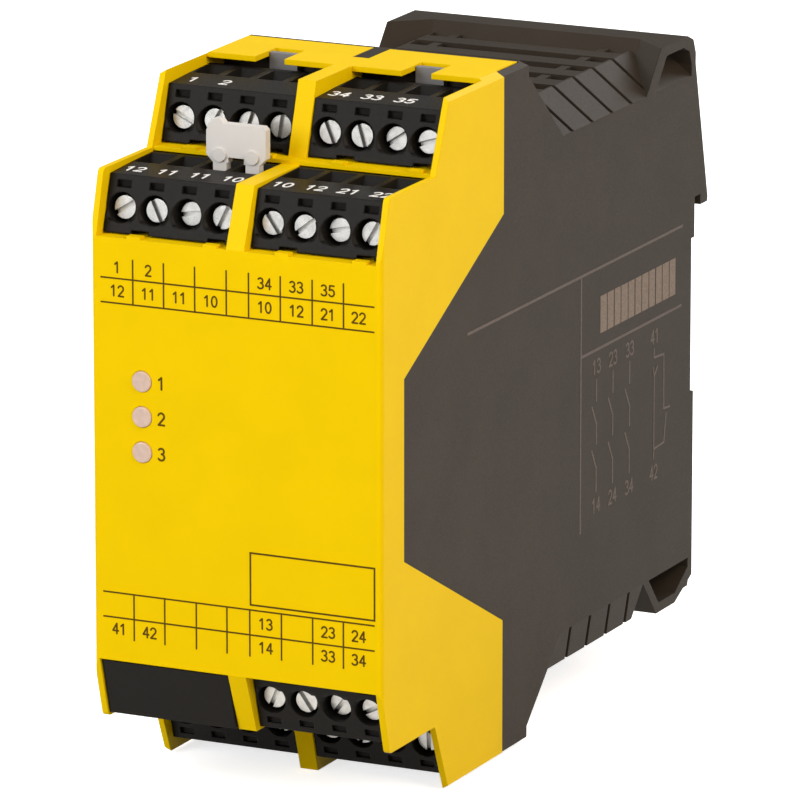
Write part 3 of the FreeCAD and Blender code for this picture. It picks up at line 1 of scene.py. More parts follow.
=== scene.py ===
"""Looks of a rail-mounted safety relay: plastics, metals, printed marks, and the studio around it."""

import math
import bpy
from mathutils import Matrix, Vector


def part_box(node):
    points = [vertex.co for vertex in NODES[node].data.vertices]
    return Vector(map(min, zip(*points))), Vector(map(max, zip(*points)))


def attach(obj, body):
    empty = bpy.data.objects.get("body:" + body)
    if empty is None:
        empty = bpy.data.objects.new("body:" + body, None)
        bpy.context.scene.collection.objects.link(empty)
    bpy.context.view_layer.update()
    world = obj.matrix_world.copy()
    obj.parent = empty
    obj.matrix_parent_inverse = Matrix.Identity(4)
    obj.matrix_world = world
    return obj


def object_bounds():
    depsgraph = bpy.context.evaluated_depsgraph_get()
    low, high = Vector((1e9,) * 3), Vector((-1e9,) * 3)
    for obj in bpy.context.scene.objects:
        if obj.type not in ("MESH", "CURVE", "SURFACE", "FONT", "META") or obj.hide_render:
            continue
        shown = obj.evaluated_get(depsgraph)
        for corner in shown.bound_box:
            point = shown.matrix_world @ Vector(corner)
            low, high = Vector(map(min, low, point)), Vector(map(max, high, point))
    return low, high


bl_info = {
    "name": "Safety relay looks",
    "version": (1, 0, 0),
    "blender": (4, 5, 0),
    "location": "3D View > Sidebar > Relay",
    "description": "Finishes, printed marks and studio for a rail-mounted safety relay",
    "category": "Object",
}

import bmesh
import bpy
from bpy.props import FloatProperty, FloatVectorProperty, PointerProperty
from bpy.types import Operator, Panel, PropertyGroup
from mathutils import Matrix, Vector

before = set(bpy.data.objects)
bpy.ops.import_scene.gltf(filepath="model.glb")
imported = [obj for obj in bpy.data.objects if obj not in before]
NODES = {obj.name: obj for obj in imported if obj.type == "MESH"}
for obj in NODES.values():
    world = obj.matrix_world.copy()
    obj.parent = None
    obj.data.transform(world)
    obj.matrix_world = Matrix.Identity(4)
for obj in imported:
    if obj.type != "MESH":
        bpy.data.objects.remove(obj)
cad_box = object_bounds()

MM = 0.001

# Faces that take print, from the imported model
FRONT_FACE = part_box("front_hood")[0].y
BASE_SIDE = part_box("base_housing")[1].x

# Print on the front, in millimetres: x from the middle of the face, heights from the frame's origin
UPPER_TABLE = {
    "rows": (24.8, 21.25),
    "columns": (-15.9, -11.1, -6.25, -1.35, 2.1, 7.0, 11.9, 16.7),
    "ends": (-20.85, 21.3),
    "top": 27.6,
    "bottom": 21.25,
    "first_row": ("1", "2", "", "", "", "34", "33", "35", ""),
    "second_row": ("12", "11", "11", "10", "", "10", "12", "21", "22"),
}
LOWER_TABLE = {
    "rows": (-20.65, -24.27),
    "columns": (-16.1, -11.26, -6.3, -1.5, 2.07, 7.0, 11.85, 16.6),
    "ends": (-20.85, 21.3),
    "top": -20.65,
    "bottom": -27.3,
    "first_row": ("", "", "", "", "", "13", "", "23", "24"),
    "second_row": ("41", "42", "", "", "", "14", "", "33", "34"),
}
LABEL_BOX = {"x": (2.2, 21.4), "z": (-19.9, -12.4)}
LAMP_MARKS = (("1", 10.4), ("2", 5.3), ("3", 0.2))
LAMP_MARK_X = -11.6

# Numbers stand midway between a table's two lines, or this share of the gap beyond its outer line
CLOSED_ROW_SHARE = 0.5
OPEN_ROW_SHARE = 0.45

# Sizes against those in the settings
LABEL_LINE_SHARE = 1.1
LAMP_DIGIT_SHARE = 1.15
CONTACT_LINE_SHARE = 0.8

# Numbers on the strip of each terminal block, from left to right
STRIP_NUMBERS = {
    "top_front_left": ("12", "11", "11", "10"),
    "top_front_right": ("10", "12", "21", "22"),
    "top_rear_left": ("1", "2", "", ""),
    "top_rear_right": ("34", "33", "35", ""),
    "bottom_front_right": ("13", "", "23", "24"),
    "bottom_rear_left": ("41", "42", "", ""),
    "bottom_rear_right": ("14", "", "33", "34"),
}
POLE_PITCH = 5.08

# Front and rear edge of a strip: depth behind the block's front, distance from its inner face
STRIP_EDGES = ((2.4, 7.9), (8.7, 8.2))
STRIP_DIGIT_SHIFT = -0.2  # upwards from the strip's middle

# Print on the right side, as (depth behind the front face, height)
SIDE_LINES = (
    ((28.5, 14.8), (103.3, 14.8)),
    ((67.1, 2.75), (103.0, 2.75)),
    ((67.1, 14.8), (67.1, -23.5)),
)
BAR_FIELD = {"depth": (73.8, 101.1), "z": (4.9, 10.45), "bars": 11}
BAR_SHARES = (0.93, 0.86, 0.86)  # widths of three bars in turn, as shares of the pitch

# Make contacts: depth and numbers of each, then the heights and the lean that all share
OPEN_CONTACTS = ((72.65, "13", "14"), (78.5, "23", "24"), (84.5, "33", "34"))
OPEN_NUMBER_HEIGHTS = (0.2, -20.65)
OPEN_STUB = (-1.8, -4.9)
OPEN_BLADES = ((-5.6, -8.35, -11.35), (-12.2, -15.0, -18.5))  # tip, knee and foot of each
OPEN_LEAN = 1.55

# Break contacts: paths, and numbers with their places
CLOSED_LINES = (
    ((93.4, -1.8), (93.4, -3.1), (96.9, -3.3), (97.0, -11.6), (99.1, -11.8)),
    ((97.9, -12.6), (97.1, -16.8), (93.4, -17.05), (93.4, -18.4)),
    ((94.5, -4.7), (93.4, -5.9), (93.4, -17.0)),
    ((93.0, -4.6), (93.4, -5.9)),
)
CLOSED_NUMBERS = (("41", (93.5, 0.1)), ("42", (93.4, -20.6)))

# Overlapping strokes differ in thickness by this share, so that no two top faces lie in one plane
FILM_STEP = 0.12
STROKE_STEPS = 4  # a path's strokes take this many thicknesses in turn
PATH_STEPS = 3  # steps from one path to the next that crosses it

# Plastics and boards
ROUGHNESS_SPREAD = 0.05
BEVEL_SAMPLES = 6
BOARD_GREEN = (0.012, 0.085, 0.03, 1)
TRACK_GREEN = (0.03, 0.17, 0.06, 1)
TRACK_PITCH = 3.2 * MM

# Lamps: name, direction from the part, distance and size in metres, colour
WHITE = (1.0, 1.0, 1.0)
WARM = (1.0, 0.85, 0.7)
LAMPS = (
    ("key", (-0.42, -0.85, 0.42), 0.9, 0.45, WHITE),
    ("side", (1.0, -0.4, 0.75), 0.6, 0.4, WARM),
    ("top", (-0.42, -0.25, 0.87), 0.9, 0.3, WHITE),
    ("back", (-1.0, 0.6, 0.9), 0.9, 0.6, WHITE),
    ("rear", (0.15, 0.87, 0.5), 0.9, 0.4, WHITE),
)

# Floor and camera
FLOOR_REACH = 6.0
FLOOR_TONE = (0.55, 0.55, 0.55, 1)  # for the light that it throws back on the part
FLOOR_TONE_SEEN = (0.9, 0.9, 0.9, 1)  # for the camera
FLOOR_GLOW = 0.74
SENSOR_WIDTH = 36
CLIP_START = 0.05


class HousingLooks(PropertyGroup):
    hood_colour: FloatVectorProperty(
        name="Hood colour", description="Yellow of the front hood", subtype="COLOR", size=3,
        default=(0.88, 0.595, 0.0006), min=0, max=1,
    )
    base_colour: FloatVectorProperty(
        name="Base colour", description="Dark warm grey of the base", subtype="COLOR", size=3,
        default=(0.041, 0.0325, 0.0245), min=0, max=1,
    )
    block_colour: FloatVectorProperty(
        name="Block colour", description="Near black of the terminal blocks", subtype="COLOR", size=3,
        default=(0.011, 0.0098, 0.0085), min=0, max=1,
    )
    bridge_colour: FloatVectorProperty(
        name="Bridge colour", description="Light grey of the plug-in bridge", subtype="COLOR", size=3,
        default=(0.70, 0.68, 0.66), min=0, max=1,
    )
    edge_radius: FloatProperty(
        name="Edge radius", description="Rounding that catches light along moulded edges",
        default=0.16 * MM, unit="LENGTH", min=0,
    )
    grain: FloatProperty(
        name="Grain size", description="Width of one grain of the moulded texture",
        default=0.22 * MM, unit="LENGTH", min=0,
    )


class PrintLooks(PropertyGroup):
    line_width: FloatProperty(
        name="Line width", description="Width of the table lines", default=0.24 * MM, unit="LENGTH", min=0,
    )
    side_line_width: FloatProperty(
        name="Side line width", description="Width of the lines on the side", default=0.42 * MM,
        unit="LENGTH", min=0,
    )
    film: FloatProperty(
        name="Ink film", description="How far the ink stands off the plastic", default=0.02 * MM,
        unit="LENGTH", min=0,
    )
    front_digit: FloatProperty(
        name="Front digit height", description="Height of the numbers in the tables", default=1.5 * MM,
        unit="LENGTH", min=0,
    )
    strip_digit: FloatProperty(
        name="Strip digit height", description="Height of the numbers on the blocks", default=2.1 * MM,
        unit="LENGTH", min=0,
    )
    side_digit: FloatProperty(
        name="Side digit height", description="Height of the numbers beside the contacts", default=2.0 * MM,
        unit="LENGTH", min=0,
    )
    front_ink: FloatVectorProperty(
        name="Front ink", description="Dark print on the yellow hood", subtype="COLOR", size=3,
        default=(0.105, 0.052, 0.004), min=0, max=1,
    )
    side_ink: FloatVectorProperty(
        name="Side ink", description="Taupe print of the striped field", subtype="COLOR", size=3,
        default=(0.24, 0.195, 0.163), min=0, max=1,
    )
    line_ink: FloatVectorProperty(
        name="Line ink", description="Greyer print of the lines and contacts", subtype="COLOR", size=3,
        default=(0.15, 0.128, 0.117), min=0, max=1,
    )
    strip_ink: FloatVectorProperty(
        name="Strip ink", description="White print on the blocks", subtype="COLOR", size=3,
        default=(0.82, 0.82, 0.80), min=0, max=1,
    )


class StudioSettings(PropertyGroup):
    azimuth: FloatProperty(
        name="Azimuth", description="Camera turn from straight ahead", default=math.radians(25.53),
        subtype="ANGLE",
    )
    elevation: FloatProperty(
        name="Elevation", description="Camera height angle", default=math.radians(14.20), subtype="ANGLE",
    )
    distance: FloatProperty(
        name="Distance", description="Camera distance from its aim", default=1.227, unit="LENGTH",
    )
    lens: FloatProperty(name="Lens", description="Focal length in millimetres", default=382.86)
    aim: FloatVectorProperty(
        name="Aim", description="Point that the camera looks at", subtype="XYZ", size=3,
        default=(0.00143, -0.0579, -0.00192),
    )
    key_level: FloatProperty(
        name="Key level", description="Light on the front from the left", default=0.5, min=0,
    )
    side_level: FloatProperty(
        name="Side level", description="Warm light on the right side and the top", default=0.68, min=0,
    )
    top_level: FloatProperty(
        name="Top level", description="Small light that draws the upper edges", default=0.12, min=0,
    )
    back_level: FloatProperty(
        name="Back level", description="Light on the back and the left side", default=0.3, min=0,
    )
    rear_level: FloatProperty(
        name="Rear level", description="Light from behind that skims the vents", default=0.28, min=0,
    )
    ambient: FloatProperty(name="Ambient", description="Even light from all round", default=0.3, min=0)


class RelaySettings(PropertyGroup):
    housing: PointerProperty(type=HousingLooks)
    print: PointerProperty(type=PrintLooks)
    studio: PointerProperty(type=StudioSettings)


def settings():
    """The relay's settings in the present scene."""
    return bpy.context.scene.relay


# Materials


def new_material(name):
    """A fresh node material, and its tree, shader and object coordinates."""
    material = bpy.data.materials.new(name)
    material.use_nodes = True
    tree = material.node_tree
    shader = tree.nodes["Principled BSDF"]
    place = tree.nodes.new("ShaderNodeTexCoord").outputs["Object"]
    return material, tree, shader, place


def noise(tree, place, size, detail=3.0, stretch=None):
    """Noise whose features are about size wide."""
    node = tree.nodes.new("ShaderNodeTexNoise")
    node.inputs["Scale"].default_value = 1.0 / size
    node.inputs["Detail"].default_value = detail
    if stretch:
        mapping = tree.nodes.new("ShaderNodeMapping")
        mapping.inputs["Scale"].default_value = stretch
        tree.links.new(place, mapping.inputs["Vector"])
        place = mapping.outputs["Vector"]
    tree.links.new(place, node.inputs["Vector"])
    return node.outputs["Fac"]


def ramp(tree, value, low, high, start=0.35, stop=0.65):
    """Maps a 0 to 1 value to a range, as a plain number."""
    node = tree.nodes.new("ShaderNodeMapRange")
    node.inputs["From Min"].default_value = start
    node.inputs["From Max"].default_value = stop
    node.inputs["To Min"].default_value = low
    node.inputs["To Max"].default_value = high
    tree.links.new(value, node.inputs["Value"])
    return node.outputs["Result"]


def shade(colour, factor):
    """A colour made lighter or darker, with an alpha of 1."""
    return (*[min(1.0, channel * factor) for channel in colour], 1.0)


def mixed_colour(tree, value, low, high):
    """Blends two colours by a 0 to 1 value."""
    node = tree.nodes.new("ShaderNodeMix")
    node.data_type = "RGBA"
    node.inputs["A"].default_value = low
    node.inputs["B"].default_value = high
    tree.links.new(value, node.inputs["Factor"])
    return node.outputs["Result"]


def rounded_bump(tree, height, distance, strength, radius):
    """Bump on top of softly rounded edges."""
    bump = tree.nodes.new("ShaderNodeBump")
    bump.inputs["Strength"].default_value = strength
    bump.inputs["Distance"].default_value = distance
    tree.links.new(height, bump.inputs["Height"])
    if radius:
        bevel = tree.nodes.new("ShaderNodeBevel")
        bevel.samples = BEVEL_SAMPLES
        bevel.inputs["Radius"].default_value = radius
        tree.links.new(bevel.outputs["Normal"], bump.inputs["Normal"])
    return bump.outputs["Normal"]


def moulded_plastic(name, colour, *, roughness, grain, depth, mottle=0.05, radius=0.0, gloss=0.3):
    """Moulded plastic: fine spark texture, faint clouds of tone and a little change of gloss."""
    material, tree, shader, place = new_material(name)
    clouds = noise(tree, place, size=9 * MM, detail=4.0)
    tone = mixed_colour(
        tree, ramp(tree, clouds, 0.0, 1.0), shade(colour, 1 - mottle), shade(colour, 1 + mottle)
    )
    tree.links.new(tone, shader.inputs["Base Color"])
    fine = noise(tree, place, size=grain, detail=2.0)
    sheen = ramp(tree, fine, roughness - ROUGHNESS_SPREAD, roughness + ROUGHNESS_SPREAD)
    tree.links.new(sheen, shader.inputs["Roughness"])
    normal = rounded_bump(tree, fine, distance=depth, strength=0.6, radius=radius)
    tree.links.new(normal, shader.inputs["Normal"])
    shader.inputs["Specular IOR Level"].default_value = gloss
    return material


def plated_metal(name, colour, *, roughness, streak):
    """Plated metal with fine turning streaks and slightly cloudy plating."""
    material, tree, shader, place = new_material(name)
    shader.inputs["Metallic"].default_value = 1.0
    clouds = noise(tree, place, size=1.1 * MM)
    tone = mixed_colour(tree, ramp(tree, clouds, 0.0, 1.0), shade(colour, 0.88), shade(colour, 1.08))
    tree.links.new(tone, shader.inputs["Base Color"])
    fine = noise(tree, place, size=0.12 * MM, detail=2.0, stretch=streak)
    tree.links.new(ramp(tree, fine, roughness * 0.75, roughness * 1.3), shader.inputs["Roughness"])
    normal = rounded_bump(tree, fine, distance=0.01 * MM, strength=0.35, radius=0.06 * MM)
    tree.links.new(normal, shader.inputs["Normal"])
    return material


def ink(name, colour, *, roughness=0.55, gloss=0.06):
    """Printing ink: matt and nearly even, with small thin spots."""
    material, tree, shader, place = new_material(name)
    spots = noise(tree, place, size=0.35 * MM)
    tone = mixed_colour(tree, ramp(tree, spots, 0.0, 1.0), shade(colour, 0.85), shade(colour, 1.12))
    tree.links.new(tone, shader.inputs["Base Color"])
    shader.inputs["Roughness"].default_value = roughness
    shader.inputs["Specular IOR Level"].default_value = gloss
    return material


def laminate():
    """Lacquered circuit board: green with lighter tracks."""
    material, tree, shader, place = new_material("board laminate")
    tracks = tree.nodes.new("ShaderNodeTexVoronoi")
    tracks.feature = "DISTANCE_TO_EDGE"
    tracks.distance = "CHEBYCHEV"
    tracks.inputs["Scale"].default_value = 1.0 / TRACK_PITCH
    tree.links.new(place, tracks.inputs["Vector"])
    line = ramp(tree, tracks.outputs["Distance"], 1.0, 0.0, start=0.05, stop=0.08)
    tone = mixed_colour(tree, line, BOARD_GREEN, TRACK_GREEN)
    tree.links.new(tone, shader.inputs["Base Color"])
    shader.inputs["Roughness"].default_value = 0.3
    return material


def lamp_plastic(name, colour, *, roughness):
    """Milky lens plastic that lets some light in."""
    material, tree, shader, place = new_material(name)
    clouds = noise(tree, place, size=0.8 * MM, detail=2.0)
    tone = mixed_colour(tree, ramp(tree, clouds, 0.0, 1.0), shade(colour, 0.94), shade(colour, 1.05))
    tree.links.new(tone, shader.inputs["Base Color"])
    shader.inputs["Roughness"].default_value = roughness
    shader.inputs["Subsurface Weight"].default_value = 0.4
    shader.inputs["Subsurface Radius"].default_value = (0.6 * MM, 0.4 * MM, 0.4 * MM)
    shader.inputs["Subsurface Scale"].default_value = 1.0
    return material


def dress(material, *nodes):
    """Gives CAD nodes a new material in every slot."""
    for name in nodes:
        mesh = NODES[name].data
        mesh.materials.clear()
        mesh.materials.append(material)


def named(prefix):
    """Names of the CAD nodes that start with a prefix."""
    return [name for name in NODES if name.startswith(prefix)]


# Printed marks


class MarkPlane:
    """A flat face that takes print, with its own right and up directions."""

    def __init__(self, origin, right, up):
        right = Vector(right).normalized()
        up = Vector(up).normalized()
        out = right.cross(up)
        self.matrix = Matrix.Translation(origin) @ Matrix((right, up, out)).transposed().to_4x4()


def in_metres(points):
    """Points given in millimetres, as metres."""
    return [(x * MM, y * MM) for x, y in points]


def thicker(film, steps):
    """An ink film that is some steps thicker, or thinner for a negative number."""
    return film * (1 + FILM_STEP * steps)


def add_stroke(bm, start, end, width, film, square=True):
    """A thin raised line between two points of the local plane, with or without square ends."""
    start = Vector((*start, 0))
    end = Vector((*end, 0))
    run = end - start
    turn = Matrix.Rotation(math.atan2(run.y, run.x), 4, "Z")
    size = Matrix.Diagonal((run.length + (width if square else 0), width, film, 1))
    middle = Matrix.Translation((start + end) / 2 + Vector((0, 0, film / 2)))
    bmesh.ops.create_cube(bm, size=1.0, matrix=middle @ turn @ size)


def add_path(bm, points, width, film, square=True):
    """Strokes from point to point, each a little thicker or thinner than the one before."""
    for index, (start, end) in enumerate(zip(points, points[1:])):
        add_stroke(bm, start, end, width, thicker(film, index % STROKE_STEPS), square)


def arc(middle, radii, start, stop, steps=7):
    """Points along part of an ellipse, angles in degrees."""
    points = []
    for step in range(steps + 1):
        angle = math.radians(start + (stop - start) * step / steps)
        points.append((middle[0] + radii[0] * math.cos(angle), middle[1] + radii[1] * math.sin(angle)))
    return points


# Drafting digits as paths of a pen, on a cell 1 high; the sizes below are shares of its height
DIGITS = {
    "0": [arc((0.3, 0.5), (0.27, 0.5), 90, 450, 14)],
    "1": [[(0.1, 0.78), (0.34, 1.0), (0.34, 0.0)]],
    "2": [arc((0.3, 0.72), (0.27, 0.28), 165, -35) + [(0.04, 0.0), (0.58, 0.0)]],
    "3": [
        arc((0.28, 0.76), (0.25, 0.24), 150, -80),
        arc((0.28, 0.27), (0.29, 0.27), 85, -150, 8),
    ],
    "4": [[(0.44, 0.0), (0.44, 1.0), (0.03, 0.3), (0.6, 0.3)]],
    "5": [[(0.54, 1.0), (0.12, 1.0), (0.08, 0.56)] + arc((0.28, 0.32), (0.29, 0.32), 125, -150, 8)],
}
DIGIT_PITCH = 0.78
DIGIT_WIDTH = 0.6
PEN_WIDTH = 0.17


def add_pen_path(bm, points, width, film):
    """A line with round joints and ends, which are thinner than its strokes."""
    add_path(bm, points, width, film, square=False)
    for index, (x, y) in enumerate(points):
        depth = thicker(film, -1 - index % 2)
        bmesh.ops.create_cone(
            bm, cap_ends=True, segments=8, radius1=width / 2, radius2=width / 2, depth=depth,
            matrix=Matrix.Translation((x, y, depth / 2)),
        )


def add_number(bm, text, middle, height, film):
    """Plain drafting digits centred on a point of the local plane."""
    length = (len(text) - 1) * DIGIT_PITCH + DIGIT_WIDTH
    for index, digit in enumerate(text):
        for order, path in enumerate(DIGITS[digit]):
            points = []
            for x, y in path:
                along = index * DIGIT_PITCH + x - length / 2
                points.append((middle[0] + along * height, middle[1] + (y - 0.5) * height))
            add_pen_path(bm, points, PEN_WIDTH * height, thicker(film, PATH_STEPS * order))


def finish_piece(name, bm, material, body, plane):
    """Lays a bmesh on its plane and makes it a piece that rides on a body."""
    bmesh.ops.transform(bm, matrix=plane.matrix, verts=bm.verts)
    mesh = bpy.data.meshes.new(name)
    bm.to_mesh(mesh)
    bm.free()
    mesh.materials.append(material)
    piece = bpy.data.objects.new(name, mesh)
    bpy.context.scene.collection.objects.link(piece)
    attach(piece, body)


def front_plane():
    """The hood's front face."""
    return MarkPlane((0, FRONT_FACE, 0), (1, 0, 0), (0, 0, 1))


def side_plane():
    """The right side, with depth behind the front face to the right."""
    return MarkPlane((BASE_SIDE, FRONT_FACE, 0), (0, 1, 0), (0, 0, 1))


def add_table(bm, table, looks):
    """The lines and numbers of one terminal table, whose outer row has no line beyond it."""
    width, film = looks.line_width, looks.film
    for row in table["rows"]:
        add_stroke(bm, *in_metres([(end, row) for end in table["ends"]]), width, film)
    for column in table["columns"]:
        ends = in_metres([(column, table["bottom"]), (column, table["top"])])
        add_stroke(bm, *ends, width, thicker(film, 1))
    edges = (table["ends"][0], *table["columns"], table["ends"][1])
    upper, lower = table["rows"]
    row_gap = upper - lower
    if table["top"] > upper:
        heights = (upper + row_gap * OPEN_ROW_SHARE, upper - row_gap * CLOSED_ROW_SHARE)
    else:
        heights = (upper - row_gap * CLOSED_ROW_SHARE, lower - row_gap * OPEN_ROW_SHARE)
    for numbers, height in zip((table["first_row"], table["second_row"]), heights):
        for left, right, text in zip(edges, edges[1:], numbers):
            if text:
                middle = ((left + right) / 2 * MM, height * MM)
                add_number(bm, text, middle, looks.front_digit, film)


def strip_plane(plug):
    """The sloping strip behind a block's outer front edge, which carries its numbers."""
    low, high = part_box(f"plug_{plug}")
    inner, way = (high.z, -1) if plug.startswith("bottom") else (low.z, 1)
    middle = (low.x + high.x) / 2
    edge, rear = (
        Vector((middle, low.y + depth * MM, inner + way * reach * MM)) for depth, reach in STRIP_EDGES
    )
    return MarkPlane((edge + rear) / 2, (1, 0, 0), (rear - edge) * way)


def add_open_contacts(bm, depth, numbers, looks):
    """Two make contacts in series, drawn downwards between two numbers."""
    width, film = looks.side_line_width * CONTACT_LINE_SHARE, looks.film
    add_path(bm, in_metres([(depth, height) for height in OPEN_STUB]), width, film)
    for tip, knee, foot in OPEN_BLADES:
        blade = [(depth - OPEN_LEAN, tip), (depth, knee), (depth, foot)]
        add_path(bm, in_metres(blade), width, film)
    for number, height in zip(numbers, OPEN_NUMBER_HEIGHTS):
        add_number(bm, number, (depth * MM, height * MM), looks.side_digit, film)


def add_closed_contacts(bm, looks):
    """Two break contacts side by side, joined at both ends."""
    width = looks.side_line_width * CONTACT_LINE_SHARE
    for order, line in enumerate(CLOSED_LINES):
        add_path(bm, in_metres(line), width, thicker(looks.film, PATH_STEPS * order))
    for number, (depth, height) in CLOSED_NUMBERS:
        add_number(bm, number, (depth * MM, height * MM), looks.side_digit, looks.film)


# Steps


class RELAY_OT_housing(Operator):
    """Give the hood, the base, the filler, the latch and the bridge their plastics"""

    bl_idname = "relay.housing"
    bl_label = "Finish the housing"

    def execute(self, context):
        looks = settings().housing
        grain, radius = looks.grain, looks.edge_radius
        hood = moulded_plastic(
            "hood plastic", looks.hood_colour, roughness=0.36, grain=grain, depth=0.012 * MM,
            mottle=0.015, radius=radius, gloss=0.03,
        )
        base = moulded_plastic(
            "base plastic", looks.base_colour, roughness=0.5, grain=grain, depth=0.02 * MM,
            mottle=0.06, radius=radius, gloss=0.07,
        )
        latch = moulded_plastic(
            "latch plastic", looks.base_colour, roughness=0.45, grain=grain, depth=0.015 * MM, radius=radius
        )
        bridge = moulded_plastic(
            "bridge plastic", looks.bridge_colour, roughness=0.42, grain=grain, depth=0.012 * MM,
            mottle=0.02, radius=radius * 0.6,
        )
        block = moulded_plastic(
            "block plastic", looks.block_colour, roughness=0.4, grain=grain, depth=0.012 * MM,
            mottle=0.06, radius=radius * 1.5, gloss=0.08,
        )
        header = moulded_plastic(
            "header plastic", (0.22, 0.22, 0.23), roughness=0.5, grain=grain, depth=0.012 * MM,
            mottle=0.04, radius=radius * 0.5,
        )
        dress(hood, "front_hood")
        dress(base, "base_housing")
        dress(latch, "rail_latch")
        dress(bridge, "bridge_grip")
        dress(block, "blank_filler", *named("plug_"))
        dress(header, *named("header_"))
        return {"FINISHED"}


class RELAY_OT_metal(Operator):
    """Give the screws, clamps, pins, fork and spring their metals"""

    bl_idname = "relay.metal"
    bl_label = "Finish the metal parts"

    def execute(self, context):
        screw = plated_metal("screw plating", (0.42, 0.415, 0.40), roughness=0.32, streak=(1, 1, 4))
        clamp = plated_metal("clamp plating", (0.66, 0.65, 0.62), roughness=0.35, streak=(1, 1, 3))
        pin = plated_metal("pin tinning", (0.72, 0.70, 0.64), roughness=0.28, streak=(1, 0.2, 1))
        fork = plated_metal("fork tinning", (0.80, 0.77, 0.72), roughness=0.25, streak=(1, 1, 0.2))
        spring = plated_metal("spring steel", (0.5, 0.5, 0.5), roughness=0.3, streak=(1, 1, 0.3))
        dress(screw, *named("screws_"))
        dress(clamp, *named("clamps_"))
        dress(pin, *named("pins_"))
        dress(fork, "bridge_fork")
        dress(spring, "latch_spring")
        return {"FINISHED"}


class RELAY_OT_inside(Operator):
    """Give the boards and what stands on them their finishes"""

    bl_idname = "relay.inside"
    bl_label = "Finish the inside"

    def execute(self, context):
        grain = settings().housing.grain
        case = moulded_plastic(
            "relay case", (0.02, 0.02, 0.022), roughness=0.4, grain=grain, depth=0.01 * MM, radius=0.1 * MM
        )
        resin = moulded_plastic(
            "chip resin", (0.012, 0.012, 0.013), roughness=0.6, grain=grain, depth=0.01 * MM
        )
        tape = moulded_plastic(
            "coil tape", (0.6, 0.38, 0.03), roughness=0.3, grain=grain, depth=0.01 * MM, mottle=0.08
        )
        disc = moulded_plastic(
            "disc coating", (0.02, 0.07, 0.3), roughness=0.25, grain=grain, depth=0.005 * MM
        )
        core = plated_metal("core sheets", (0.25, 0.25, 0.26), roughness=0.45, streak=(1, 8, 1))
        can = plated_metal("capacitor can", (0.5, 0.52, 0.6), roughness=0.3, streak=(1, 1, 0.2))
        dress(laminate(), "front_board", "left_board", "right_board")
        dress(case, "relay_left", "relay_right")
        dress(resin, "logic_chip_left", "logic_chip_right", "board_fuse")
        dress(tape, "transformer_coil")
        dress(disc, "surge_disc")
        dress(core, "transformer_core")
        dress(can, "bulk_capacitor")
        return {"FINISHED"}


class RELAY_OT_lamps(Operator):
    """Give the status lamps their milky plastic"""

    bl_idname = "relay.lamps"
    bl_label = "Finish the lamps"

    def execute(self, context):
        dress(lamp_plastic("lens plastic", (0.64, 0.47, 0.39), roughness=0.24), *named("lens_"))
        dress(lamp_plastic("lamp resin", (0.75, 0.72, 0.66), roughness=0.2), *named("led_"))
        return {"FINISHED"}


class RELAY_OT_front_print(Operator):
    """Print the two terminal tables, the label box and the lamp numbers on the hood"""

    bl_idname = "relay.front_print"
    bl_label = "Print the front"

    def execute(self, context):
        looks = settings().print
        paint = ink("front ink", looks.front_ink)
        for name, table in (("upper_table", UPPER_TABLE), ("lower_table", LOWER_TABLE)):
            bm = bmesh.new()
            add_table(bm, table, looks)
            finish_piece(name, bm, paint, "housing", front_plane())
        bm = bmesh.new()
        left, right = LABEL_BOX["x"]
        low, high = LABEL_BOX["z"]
        corners = in_metres([(left, low), (right, low), (right, high), (left, high), (left, low)])
        add_path(bm, corners, looks.line_width * LABEL_LINE_SHARE, looks.film)
        finish_piece("label_box", bm, paint, "housing", front_plane())
        bm = bmesh.new()
        digit = looks.front_digit * LAMP_DIGIT_SHARE
        for text, height in LAMP_MARKS:
            add_number(bm, text, (LAMP_MARK_X * MM, height * MM), digit, looks.film)
        finish_piece("lamp_numbers", bm, paint, "housing", front_plane())
        return {"FINISHED"}


class RELAY_OT_strip_numbers(Operator):
    """Print the white numbers on the strip of each terminal block"""

    bl_idname = "relay.strip_numbers"
    bl_label = "Number the terminal blocks"

    def execute(self, context):
        looks = settings().print
        paint = ink("strip ink", looks.strip_ink, roughness=0.5)
        for plug, numbers in STRIP_NUMBERS.items():
            bm = bmesh.new()
            for index, text in enumerate(numbers):
                if text:
                    x = (index - (len(numbers) - 1) / 2) * POLE_PITCH * MM
                    add_number(bm, text, (x, STRIP_DIGIT_SHIFT * MM), looks.strip_digit, looks.film)
            finish_piece(
                f"numbers_{plug}", bm, paint, f"terminal_block_{plug}",
                strip_plane(plug),
            )
        return {"FINISHED"}


class RELAY_OT_side_print(Operator):
    """Print the panel lines, the striped field and the contact diagram on the right side"""

    bl_idname = "relay.side_print"
    bl_label = "Print the side"

    def execute(self, context):
        looks = settings().print
        paint = ink("side ink", looks.side_ink, roughness=0.6)
        line_paint = ink("line ink", looks.line_ink, roughness=0.6)
        bm = bmesh.new()
        for order, line in enumerate(SIDE_LINES):
            add_path(bm, in_metres(line), looks.side_line_width, thicker(looks.film, order))
        finish_piece("panel_lines", bm, line_paint, "housing", side_plane())
        bm = bmesh.new()
        for depth, first, last in OPEN_CONTACTS:
            add_open_contacts(bm, depth, (first, last), looks)
        add_closed_contacts(bm, looks)
        finish_piece("contact_diagram", bm, line_paint, "housing", side_plane())
        bm = bmesh.new()
        front, rear = BAR_FIELD["depth"]
        low, high = BAR_FIELD["z"]
        pitch = (rear - front) / BAR_FIELD["bars"]
        for index in range(BAR_FIELD["bars"]):
            middle = (front + (index + 0.5) * pitch) * MM
            bar = pitch * BAR_SHARES[index % len(BAR_SHARES)] * MM
            ends = (middle, low * MM + bar / 2), (middle, high * MM - bar / 2)
            add_stroke(bm, *ends, bar, looks.film)
        finish_piece("striped_field", bm, paint, "housing", side_plane())
        return {"FINISHED"}


# Studio


